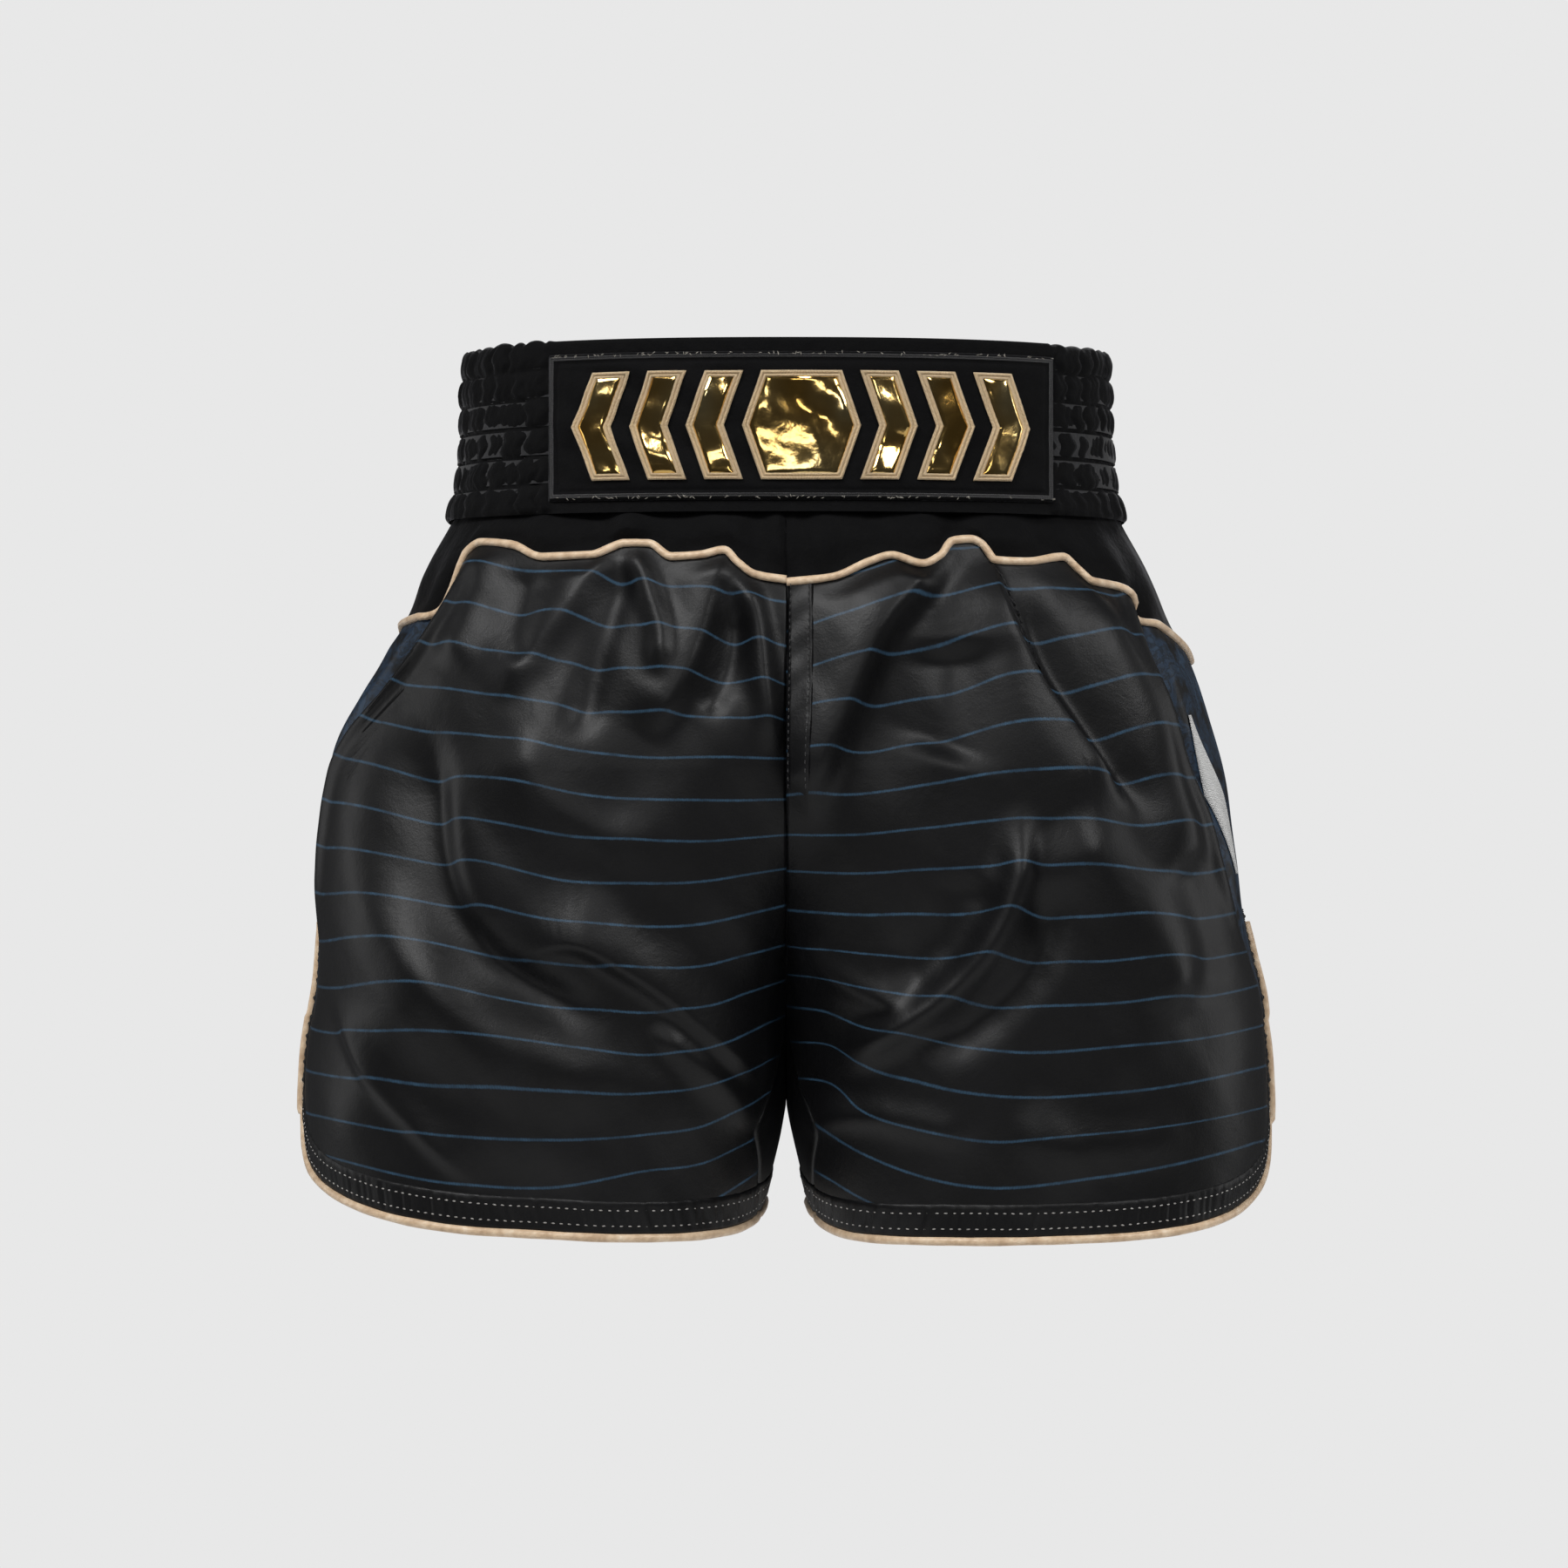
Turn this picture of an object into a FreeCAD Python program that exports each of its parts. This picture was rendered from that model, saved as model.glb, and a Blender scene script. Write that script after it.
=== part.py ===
"""Boxing shorts with a wide shirred waistband, side vents and piped hems, in the shape they take when worn.

Millimetres. The origin is the centre of the waist opening at the waistband's top edge. +Z is up, -Y is the
front and +X is the wearer's left. The left half is modelled and the right half is its mirror image.

The cloth hangs from the waistband in two halves that meet at the centre seam. Below the crotch each half is
a closed leg. A point of a half is named by q, which runs from 0 at the centre front seam, round the outer
side, to 1 at the centre back seam, and by its drop, the distance below the top edge.

Each leg swings on a hinge across the hips. The cloth is parted there along a cylinder about that axis, so
the hips stay inside it and the leg outside it, with a clearance between them at every angle.
"""

import FreeCAD
import Part
import math
import os

os.makedirs("parts", exist_ok=True)
Vector = FreeCAD.Vector

# Overall sizes
TOTAL_DROP = 390.0  # waistband's top edge to the lowest point of the hem
WAIST_HALF_WIDTH = 143.0
HEM_HALF_WIDTH = 217.0
WAIST_HALF_DEPTH = 93.0
HIP_FRONT_DEPTH = 119.0
HIP_BACK_DEPTH = 124.5
HEM_HALF_DEPTH = 112.0
WAISTBAND_HEIGHT = 76.0
INSEAM = 60.0  # crotch to hem
VENT_LENGTH = 134.0  # the outseam is left open this far above the lowest point of the hem
YOKE_FRONT_HEIGHT = 29.0  # waistband to yoke seam at the centre front
YOKE_BACK_HEIGHT = 36.0  # and at the centre back

# Cloth and trims
CLOTH = 1.0  # satin with its seam allowances
CLEARANCE = 0.2  # between pieces that lie on each other or are sewn edge to edge
CENTRE_GAP = 0.6  # from the middle plane to each half
LINING = 0.8
ELASTIC = 1.0
ELASTIC_ROWS = 6
CHANNEL_MARGIN = 2.0  # from a row of elastic to the next
CHANNEL_THREAD = 0.6
YOKE_PIPING_RADIUS = 1.8
HEM_PIPING_RADIUS = 1.6
HEM_BAND_HEIGHT = 14.0
HEM_BAND_THICKNESS = 0.8
STITCH_WIDTH = 0.8
STITCH_HEIGHT = 0.35
STITCH_ROWS = (3.0, 11.0)  # distance of each row of hem stitching from the hem's edge
CORNER_LENGTH = 105.0  # the hem's rounded corner, along the hem
CORNER_RISE = 46.0  # and up the vent
VENT_SPREAD = 0.011  # how far each vent edge has moved from the outseam at the hem, in q
VENT_START = 0.13  # share of the vent over which its edges move apart for their pipings
HEM_BAND_VENT_END = 34.0  # the hem's band stops this far from the vent

# Front patch and its emblem
PATCH_WIDTH = 218.0
PATCH_TOP_DROP = 6.5
PATCH_BOTTOM_MARGIN = 4.5  # from the patch to the waistband's lower edge
PATCH_SHIFT = 5.0  # the patch sits this far to the wearer's left of the middle
PATCH_BACKING = 0.8
PATCH_CLOTH = 1.0
PATCH_BORDER_WIDTH = 2.4
PATCH_BORDER_THICKNESS = 0.8
EMBLEM_MARGIN = 9.0  # from the foil to the patch's long edges
EMBLEM_PLATE_WIDTH = 50.0
EMBLEM_BAR_WIDTH = 15.5
EMBLEM_BAR_PITCH = 24.0
EMBLEM_BAR_SLANT = 8.0
EMBLEM_BARS = 3  # on each side of the middle plate
FOIL = 0.4
SATIN_STITCH_WIDTH = 2.4
SATIN_STITCH_HEIGHT = 0.8

# Small pieces
FLY_WIDTH = 10.5
FLY_END_DROP = 172.0
SIDE_PATCH_TOP_DROP = 168.0
SIDE_PATCH_HEIGHT = 66.0
SIDE_PATCH_WIDTH = 26.0
BARTACK_LENGTH = 9.0
BARTACK_HEIGHT = 2.0
LABEL_WIDTH = 32.0
LABEL_LENGTH = 42.0
LABEL_SIDE = 10.0  # from the middle plane
LABEL_GAP = 3.0  # from the yoke's inner surface
LABEL_THICKNESS = 0.4

# Hinge of each leg
HIP_CLEARANCE = 1.0
HIP_MARGIN = 2.5  # the parting cylinder is this much larger than the hips are deep

PATCH_HEIGHT = WAISTBAND_HEIGHT - PATCH_TOP_DROP - PATCH_BOTTOM_MARGIN
EMBLEM_HEIGHT = PATCH_HEIGHT - 2 * EMBLEM_MARGIN
CROTCH_DROP = TOTAL_DROP - INSEAM
VENT_DROP = TOTAL_DROP - VENT_LENGTH
HIP_RADIUS = max(HIP_FRONT_DEPTH, HIP_BACK_DEPTH) + HIP_MARGIN
HIP_AXIS_DROP = VENT_DROP + HIP_CLEARANCE - HIP_RADIUS  # the hips' cylinder ends where the vent starts
YOKE_SEAM_HALF = 1.15 * YOKE_PIPING_RADIUS + CLEARANCE  # room for the piping between yoke and leg cloth

# The section is a flat ellipse with fuller sides than a true one, and fuller still nearer the other leg.
OUTER_POWER = 2.3
INNER_POWER = 3.0
CROTCH_POWER = 3.5  # how late on the way down the seam between the legs turns in under the crotch
THREAD_TURN = math.radians(62)  # how far round the leg the straight threads have turned in at the crotch
INSEAM_RISE = 6.0  # the hem is this much higher at the inseam

# Seams of the leg cloth
SIDE_SEAM_AT_YOKE = 0.36  # q of the seam from front panel to side panel; the rear one is its mirror
SIDE_PANEL_TIP = 2.5
GUSSET_RISE = 42.0  # the gusset starts this far above the crotch
GUSSET_WIDEST = 0.09  # half its width, in q
GUSSET_AT_HEM = 0.05

# Shape curves: share of the way down, and share of the change from the waist's size to the lower one.
WIDTH_CURVE = ((0.0, 0.0), (0.195, 0.11), (0.33, 0.38), (0.51, 0.64), (0.67, 0.84), (0.82, 0.98), (1.0, 1.0))
DEPTH_CURVE = ((0.0, 0.0), (0.195, 0.2), (0.33, 0.66), (0.48, 1.0), (0.67, 0.95), (0.82, 0.6), (1.0, 0.0))
# How much deeper than the line between its ends the yoke seam runs, from the centre front to the centre back.
YOKE_CURVE = (
    (0.0, 0.0), (0.06, -10.0), (0.16, -14.0), (0.3, -15.0), (0.36, -3.0), (0.42, 12.0), (0.5, 17.0), (0.6, 20.0),
    (0.8, 8.0), (1.0, 0.0),
)


def along(curve, at):
    """Smooth value of a curve of (place, value) pairs, held at its end values outside them."""
    if at <= curve[0][0]:
        return curve[0][1]
    if at >= curve[-1][0]:
        return curve[-1][1]
    i = max(n for n in range(len(curve) - 1) if curve[n][0] <= at)

    def slope(n):
        before, after = curve[max(n - 1, 0)], curve[min(n + 1, len(curve) - 1)]
        return (after[1] - before[1]) / (after[0] - before[0])

    (x0, y0), (x1, y1) = curve[i], curve[i + 1]
    t = (at - x0) / (x1 - x0)
    rise = (x1 - x0) * (slope(i) * t * (1 - t) ** 2 - slope(i + 1) * t * t * (1 - t))
    return y0 + (y1 - y0) * t * t * (3 - 2 * t) + rise


def half_width(drop):
    share = along(WIDTH_CURVE, drop / TOTAL_DROP)
    return WAIST_HALF_WIDTH + (HEM_HALF_WIDTH - WAIST_HALF_WIDTH) * share


def half_depth(drop, hip_depth):
    """Front or back depth: from the waist's to the hip's, and from there to the hem's."""
    share = along(DEPTH_CURVE, drop / TOTAL_DROP)
    above_hip = drop / TOTAL_DROP < DEPTH_CURVE[3][0]
    end = WAIST_HALF_DEPTH if above_hip else HEM_HALF_DEPTH
    return end + (hip_depth - end) * share


def centre_gap(drop):
    """Half the space between the legs, which opens towards the hem."""
    below = max(0.0, drop - CROTCH_DROP - 6.0) / max(INSEAM - 6.0, 1.0)
    return CENTRE_GAP + 9.0 * below**1.3


def section_point(q, drop):
    """Point of the left half's outer surface."""
    gap = centre_gap(drop)
    width = half_width(drop) - gap
    below_band = max(0.0, (drop - WAISTBAND_HEIGHT) / (CROTCH_DROP - WAISTBAND_HEIGHT))
    opened = 1 - min(1.0, below_band) ** CROTCH_POWER
    offset = (1 - opened**INNER_POWER) ** (1 / INNER_POWER)
    centre = width * offset / (1 + offset)
    reach = width - centre
    depth = half_depth(drop, HIP_FRONT_DEPTH if q < 0.5 else HIP_BACK_DEPTH)
    last_angle = math.atan2(depth * opened, -centre)
    # Threads run straight down the cloth. Only those near the centre seam bend in under the crotch.
    straight_angle = min(math.pi / 2 + THREAD_TURN * below_band, last_angle)
    part = 2 * q - 1
    angle = part * straight_angle + part * abs(part) ** 7 * (last_angle - straight_angle)
    power = OUTER_POWER if abs(angle) < math.pi / 2 else INNER_POWER
    size = (abs(math.cos(angle)) / reach) ** power + (abs(math.sin(angle)) / depth) ** power
    radius = size ** (-1 / power)
    return Vector(gap + centre + radius * math.cos(angle), radius * math.sin(angle), -drop)


def q_at(x, drop, front=True):
    """q of the point of the front or back that is this far from the middle plane."""
    low, high = 0.0, 0.5
    for _ in range(30):
        middle = (low + high) / 2
        found = section_point(middle if front else 1 - middle, drop).x
        low, high = (middle, high) if found < x else (low, middle)
    return low if front else 1 - low


def yoke_drop(q):
    height = YOKE_FRONT_HEIGHT + (YOKE_BACK_HEIGHT - YOKE_FRONT_HEIGHT) * q
    return WAISTBAND_HEIGHT + height + along(YOKE_CURVE, q)


def corner_rise(share):
    """Height of the hem's rounded corner, share from 0 at the vent's edge to 1 where the corner ends."""
    return CORNER_RISE * (1 - math.sqrt(max(0.0, 1 - (1 - share) ** 2)))


def hem_drop(q):
    """The hem is lowest at mid leg, a little higher at the inseam, and rounds up into the vent."""
    from_vent = (abs(q - 0.5) - VENT_SPREAD) * LEG_LOOP - 2 * HEM_PIPING_RADIUS - 4 * CLEARANCE
    share = max(0.0, from_vent / CORNER_LENGTH)
    rise = corner_rise(share) if share < 1 else 0.0
    from_inseam = min(q, 1 - q) * LEG_LOOP
    return TOTAL_DROP - rise - INSEAM_RISE * math.exp(-((from_inseam / 45.0) ** 2))


def leg_loop():
    """Length round one leg near its hem."""
    steps = 48
    circle = [section_point(n / steps, CROTCH_DROP + INSEAM * 0.8) for n in range(steps + 1)]
    return sum((b - a).Length for a, b in zip(circle, circle[1:]))


LEG_LOOP = leg_loop()


def leg_point(q, w):
    """Point of the leg cloth, w from 0 at the yoke seam to 1 at the hem."""
    top, bottom = yoke_drop(q) + YOKE_SEAM_HALF, hem_drop(q)
    return section_point(q, top + (bottom - top) * w)


def yoke_point(q, w):
    """Point of the yoke, w from 0 under the waistband to 1 at the yoke seam."""
    top = WAISTBAND_HEIGHT + CLEARANCE
    return section_point(q, top + (yoke_drop(q) - YOKE_SEAM_HALF - top) * w)


def waist_point(x, drop):
    """Point of the front of the waistband's surface, by its distance from the middle plane."""
    power = OUTER_POWER
    depth = half_depth(drop, HIP_FRONT_DEPTH)
    y = -depth * (1 - min(1.0, abs(x) / half_width(drop)) ** power) ** (1 / power)
    return Vector(x, y, -drop)


def normal_at(point, u, w):
    """Unit normal of point(u, w) that faces away from the body."""
    h = 0.004
    du = point(min(1.0, u + h), w) - point(max(0.0, u - h), w)
    dw = point(u, min(1.0, w + h)) - point(u, max(0.0, w - h))
    found = dw.cross(du)
    return found.normalize()


def evenly(steps):
    return [n / steps for n in range(steps + 1)]


def curve_through(points, parameters):
    curve = Part.BSplineCurve()
    curve.interpolate(Points=points, Parameters=parameters)
    return curve


def surface_through(grid, us, ws):
    """Surface through a grid of points that keeps u and w as its parameters."""
    rows = [curve_through(list(points), us) for points in zip(*grid)]
    columns = [curve_through(list(poles), ws) for poles in zip(*(row.getPoles() for row in rows))]
    row, column = rows[0], columns[0]
    surface = Part.BSplineSurface()
    surface.buildFromPolesMultsKnots(
        [each.getPoles() for each in columns],
        row.getMultiplicities(),
        column.getMultiplicities(),
        row.getKnots(),
        column.getKnots(),
        False,
        False,
        row.Degree,
        column.Degree,
    )
    return surface


def sheet(point, us, ws, lift=0.0, thickness=CLOTH):
    """Closed solid of cloth under the surface point(u, w) with u and w from 0 to 1, raised by lift."""
    surfaces = []
    for height in (lift, lift - thickness):
        grid = [[point(u, w) + normal_at(point, u, w) * height for w in ws] for u in us]
        surfaces.append(surface_through(grid, us, ws))
    outer, inner = surfaces
    u0, u1, w0, w1 = outer.bounds()
    edges = [
        (outer.uIso(u0), inner.uIso(u0)),
        (outer.uIso(u1), inner.uIso(u1)),
        (outer.vIso(w0), inner.vIso(w0)),
        (outer.vIso(w1), inner.vIso(w1)),
    ]
    walls = [Part.makeRuledSurface(a.toShape(), b.toShape()) for a, b in edges]
    return closed_solid([outer.toShape(), inner.toShape(), *walls])


def closed_solid(faces):
    shell = Part.Shell(Part.makeShell(faces).Faces)
    shell.sewShape()
    solid = Part.Solid(shell)
    if solid.Volume < 0:
        solid.reverse()
    return solid


def rows_near_crotch(steps):
    """Rows of a panel that goes down the leg, closest together where the legs part."""
    spread, crowd = 0.533, 1.667
    return [0.68 + spread * (t - 0.6) + crowd * (t - 0.6) ** 3 for t in evenly(steps)]


def between(q_from, q_to, w_from=0.0, w_to=1.0):
    """Surface of leg cloth between two edges, each a function of w that gives q."""

    def point(u, w):
        place = w_from + (w_to - w_from) * w
        return leg_point(q_from(place) + (q_to(place) - q_from(place)) * u, place)

    return point


def crossing(point, u, radius):
    """w at which the surface leaves a cylinder round the hip axis."""
    low, high = 0.0, 1.0
    for _ in range(30):
        middle = (low + high) / 2
        found = point(u, middle)
        inside = math.hypot(found.y, found.z + HIP_AXIS_DROP) < radius
        low, high = (middle, high) if inside else (low, middle)
    return low


def parted(point, columns):
    """A panel in two pieces: the one on the hips and the one on the leg."""

    def above(u, w):
        return point(u, w * crossing(point, u, HIP_RADIUS - HIP_CLEARANCE))

    def below(u, w):
        start = crossing(point, u, HIP_RADIUS + CLOTH)
        return point(u, start + (1 - start) * w)

    return sheet(above, evenly(columns), evenly(8)), sheet(below, evenly(columns), rows_near_crotch(18))


def ring_wire(drop, lift):
    """Closed outline of the waistband at one height, raised by lift from the lining's inner surface."""
    steps = 12
    left = []
    for n in range(steps + 1):
        base = section_point(n / steps, drop)
        depth = half_depth(drop, HIP_FRONT_DEPTH)
        away = Vector(base.x / half_width(drop) ** 2, base.y / depth**2, 0).normalize()
        left.append(base + away * lift)
    left[0].x = left[-1].x = 0.0
    right = [Vector(-p.x, p.y, p.z) for p in left[1:-1]]
    curve = Part.BSplineCurve()
    curve.interpolate(left + right[::-1], PeriodicFlag=True)
    return Part.Wire([curve.toShape()])


def ring(top_drop, bottom_drop, lift, thickness):
    """Band of cloth right round the waist."""
    heights = [top_drop + (bottom_drop - top_drop) * share for share in evenly(3)]
    outside = Part.makeLoft([ring_wire(h, lift + thickness) for h in heights], True)
    inside = Part.makeLoft([ring_wire(h, lift) for h in heights], True)
    return outside.cut(inside)


def tube(points, radius):
    """Round trim that follows a list of points, swept in whichever of two ways closes."""
    curve = Part.BSplineCurve()
    curve.interpolate(points)
    path = Part.Wire([curve.toShape()])
    section = Part.Wire([Part.Circle(points[0], points[1] - points[0], radius).toShape()])
    try:
        return path.makePipeShell([section], True, True)
    except Part.OCCError:
        return path.makePipeShell([section], True, False)


def mirrored(solid):
    return solid.mirror(Vector(0, 0, 0), Vector(1, 0, 0))


def both_sides(halves):
    pieces = {}
    for name, solid in halves.items():
        pieces["left_" + name] = solid
        pieces["right_" + name] = mirrored(solid)
    return pieces


# Layers of the waistband, from the inside out, as distances from the lining's inner surface
ELASTIC_LIFT = LINING + CLEARANCE
SHELL_LIFT = ELASTIC_LIFT + ELASTIC + CLEARANCE
THREAD_LIFT = SHELL_LIFT + CLOTH + CLEARANCE
BACKING_LIFT = THREAD_LIFT + CHANNEL_THREAD + CLEARANCE
PATCH_LIFT = BACKING_LIFT + PATCH_BACKING + CLEARANCE
EMBLEM_LIFT = PATCH_LIFT + PATCH_CLOTH + CLEARANCE
CHANNEL_PITCH = WAISTBAND_HEIGHT / ELASTIC_ROWS

# Where the vent starts, where the side panel runs out and where the gusset starts, as w
VENT_AT = (VENT_DROP - yoke_drop(0.5)) / (hem_drop(0.5) - yoke_drop(0.5))
PIPING_AT = VENT_AT + (1 - VENT_AT) * VENT_START
SIDE_PANEL_END = VENT_AT + (1 - VENT_AT) * 0.7
INNER_TOP = yoke_drop(0.0) + YOKE_SEAM_HALF
CROTCH_W = (CROTCH_DROP - INNER_TOP) / (hem_drop(0.0) - INNER_TOP)
GUSSET_AT = CROTCH_W - GUSSET_RISE / (hem_drop(0.0) - INNER_TOP)
EDGE = CLEARANCE / LEG_LOOP  # seam clearance on each side, in q


def vent_edge(w):
    """Front edge of the outseam: closed above the vent, then apart by its pipings and spreading."""
    opened = max(0.0, w - VENT_AT) / (1 - VENT_AT)
    apart = min(1.0, opened / VENT_START)
    pipings = (2 * HEM_PIPING_RADIUS + 4 * CLEARANCE) / LEG_LOOP
    return 0.5 - EDGE - pipings * apart * apart * (3 - 2 * apart) - VENT_SPREAD * opened


def side_seam(w):
    """Front panel to side panel. The side panel is widest under the yoke and runs out at the vent's edge."""
    if w >= SIDE_PANEL_END:
        return vent_edge(w)
    narrowest = vent_edge(SIDE_PANEL_END) - SIDE_PANEL_TIP / LEG_LOOP
    return SIDE_SEAM_AT_YOKE + (narrowest - SIDE_SEAM_AT_YOKE) * w / SIDE_PANEL_END


def inner_seam(w):
    """Inner edge of the front panel: the centre seam, then the gusset's seam, widest at the crotch."""
    opened = min(1.0, max(0.0, (w - GUSSET_AT) / (1 - GUSSET_AT)) / 0.4)
    return (GUSSET_WIDEST - (GUSSET_WIDEST - GUSSET_AT_HEM) * w) * opened * opened * (3 - 2 * opened)


def shifted(edge, by):
    return lambda w: edge(w) + by


def behind(edge):
    """The same seam on the back of the leg."""
    return lambda w: 1 - edge(w)


def waistband_pieces():
    pieces = {
        "waistband_lining": ring(0, WAISTBAND_HEIGHT, 0, LINING),
        "waistband_shell": ring(0, WAISTBAND_HEIGHT, SHELL_LIFT, CLOTH),
    }
    for n in range(ELASTIC_ROWS):
        top = n * CHANNEL_PITCH + CHANNEL_MARGIN / 2
        bottom = (n + 1) * CHANNEL_PITCH - CHANNEL_MARGIN / 2
        pieces[f"elastic_strip_{n + 1}"] = ring(top, bottom, ELASTIC_LIFT, ELASTIC)
    rows = []
    for n in range(1, ELASTIC_ROWS):
        middle = n * CHANNEL_PITCH
        half = CHANNEL_THREAD / 2
        rows.append(ring(middle - half, middle + half, THREAD_LIFT, CHANNEL_THREAD))
    pieces["channel_stitching"] = Part.makeCompound(rows)
    return pieces


def patch_layer(lift, thickness, margin=0.0):
    """One layer of the front patch, smaller than it by margin on each side."""
    width, height = PATCH_WIDTH - 2 * margin, PATCH_HEIGHT - 2 * margin

    def point(u, w):
        return waist_point(PATCH_SHIFT + width * (u - 0.5), PATCH_TOP_DROP + margin + height * w)

    return sheet(point, evenly(16), evenly(4), lift + thickness, thickness)


def prism(corners, grow=0.0):
    """Block through the front of the patch over an outline in X and Z, grown by grow."""
    wire = Part.makePolygon([*corners, corners[0]])
    if grow:
        wire = wire.makeOffset2D(grow, 2)
    return Part.Face(wire).extrude(Vector(0, 2 * WAIST_HALF_DEPTH, 0))


def patch_place(x, z):
    """Corner of an outline in front of the patch, from the patch's own middle."""
    return Vector(PATCH_SHIFT + x, -2 * WAIST_HALF_DEPTH, z - PATCH_TOP_DROP - PATCH_HEIGHT / 2)


def emblem_outlines():
    """A six-sided plate with bent bars on each side of it, mirrored about it."""
    half, slant = EMBLEM_HEIGHT / 2, EMBLEM_BAR_SLANT
    tip = EMBLEM_PLATE_WIDTH / 2
    shoulder = tip - slant
    plate = [(-shoulder, half), (shoulder, half), (tip, 0), (shoulder, -half), (-shoulder, -half), (-tip, 0)]
    outlines = [plate]
    for side in (-1, 1):
        for n in range(EMBLEM_BARS):
            near = tip + (EMBLEM_BAR_PITCH - EMBLEM_BAR_WIDTH) + n * EMBLEM_BAR_PITCH
            far = near + EMBLEM_BAR_WIDTH
            upper = [(near - slant, half), (far - slant, half), (far, 0)]
            lower = [(far - slant, -half), (near - slant, -half), (near, 0)]
            outlines.append([(side * x, z) for x, z in upper + lower])
    return [[patch_place(x, z) for x, z in outline] for outline in outlines]


def patch_pieces():
    inset = 1.5 * PATCH_BORDER_WIDTH
    foil_layer = patch_layer(EMBLEM_LIFT, FOIL, inset)
    stitch_layer = patch_layer(EMBLEM_LIFT, SATIN_STITCH_HEIGHT, inset)
    foils, stitches = [], []
    for corners in emblem_outlines():
        foils += foil_layer.common(prism(corners)).Solids
        around = prism(corners, SATIN_STITCH_WIDTH).cut(prism(corners, CLEARANCE))
        stitches += stitch_layer.common(around).Solids
    x, z = PATCH_WIDTH / 2 - PATCH_BORDER_WIDTH, PATCH_HEIGHT / 2 - PATCH_BORDER_WIDTH
    hole = prism([patch_place(-x, z), patch_place(x, z), patch_place(x, -z), patch_place(-x, -z)])
    return {
        "patch_backing": patch_layer(BACKING_LIFT, PATCH_BACKING, PATCH_BORDER_WIDTH / 2),
        "front_patch": patch_layer(PATCH_LIFT, PATCH_CLOTH),
        "patch_border": patch_layer(EMBLEM_LIFT, PATCH_BORDER_THICKNESS).cut(hole),
        "emblem_foil": Part.makeCompound(foils),
        "emblem_stitching": Part.makeCompound(stitches),
    }


def yoke(q_from, q_to):
    def point(u, w):
        return yoke_point(q_from + (q_to - q_from) * u, w)

    return sheet(point, evenly(14), evenly(4))


def yoke_piping(q_from, q_to):
    """Piping in the seam under the yoke, its middle on the cloth's outer surface."""
    points = []
    for share in evenly(24):
        q = q_from + (q_to - q_from) * share
        points.append(section_point(q, yoke_drop(q)))
    return tube(points, YOKE_PIPING_RADIUS)


def yoke_pieces():
    """Velvet yokes under the waistband and the piping in the seam under them."""
    inset = (YOKE_PIPING_RADIUS + CLEARANCE) / (LEG_LOOP / 2)
    return {
        "front_yoke": yoke(EDGE, 0.5 - EDGE),
        "back_yoke": yoke(0.5 + EDGE, 1 - EDGE),
        "front_yoke_piping": yoke_piping(inset, 0.5 - EDGE),
        "back_yoke_piping": yoke_piping(0.5 + EDGE, 1 - inset),
    }


def panel_pieces():
    """The panels of one half, each parted at the hips into the piece above and the piece on the leg."""
    inner, outer = shifted(inner_seam, EDGE), shifted(side_seam, -EDGE)
    side = shifted(side_seam, EDGE)
    front = between(inner, outer)
    back = between(behind(outer), behind(inner))

    def front_eased(u, w):
        """Columns close up toward the hem's rounded corner."""
        return front(u * (2 - u), w)

    def back_eased(u, w):
        return back(u * u, w)

    pieces = {
        "front_panel": parted(front_eased, 20),
        "side_panel_front": parted(between(side, vent_edge, 0.0, SIDE_PANEL_END), 6),
        "side_panel_rear": parted(between(behind(vent_edge), behind(side), 0.0, SIDE_PANEL_END), 6),
        "back_panel": parted(back_eased, 20),
    }
    halves = {}
    for name, (upper, lower) in pieces.items():
        halves[name + "_upper"] = upper
        halves[name + "_lower"] = lower
    return halves


def gusset(rear):
    """Plain cloth between the legs, from the crotch seam and the inseam out to the panel's inner edge."""
    top, crotch = GUSSET_AT + 0.12 * (1 - GUSSET_AT), CROTCH_W

    def on_leg(q, w):
        return leg_point(1 - q if rear else q, w)

    def point(u, w):
        """Blend of the four edges, with u from the panel to the inseam."""
        u = 1 - u if rear else u
        down = top + (1 - top) * w
        panel_side = on_leg(inner_seam(down) - 2 * EDGE, down)
        seam_side = on_leg(EDGE, crotch + (1 - crotch) * w)
        upper = on_leg(EDGE + (inner_seam(top) - 3 * EDGE) * (1 - u), top + (crotch - top) * u)
        lower = on_leg(EDGE + (inner_seam(1.0) - 3 * EDGE) * (1 - u), 1.0)
        first, second = on_leg(inner_seam(top) - 2 * EDGE, top), on_leg(EDGE, crotch)
        third, fourth = on_leg(inner_seam(1.0) - 2 * EDGE, 1.0), on_leg(EDGE, 1.0)
        across = panel_side * (1 - u) + seam_side * u
        along_edges = upper * (1 - w) + lower * w
        corners = (first * (1 - u) + second * u) * (1 - w) + (third * (1 - u) + fourth * u) * w
        place = across + along_edges - corners
        return Vector(max(place.x, CENTRE_GAP + CLOTH + CLEARANCE), place.y, place.z)

    return sheet(point, evenly(8), evenly(10))


def gusset_pieces():
    return {"front_gusset": gusset(False), "back_gusset": gusset(True)}


def hem_strip(rear, low, high, lift, thickness):
    """Strip along the front or rear hem between two distances above its edge."""
    last = 0.5 - VENT_SPREAD - HEM_BAND_VENT_END / LEG_LOOP
    first = inner_seam(0.94) + 2 * EDGE

    def point(u, w):
        q = first + (last - first) * (1 - u if rear else u)
        q = 1 - q if rear else q
        above = high + (low - high) * w
        return leg_point(q, 1 - above / (hem_drop(q) - yoke_drop(q) - YOKE_SEAM_HALF))

    return sheet(point, evenly(20), evenly(1), lift, thickness)


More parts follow.
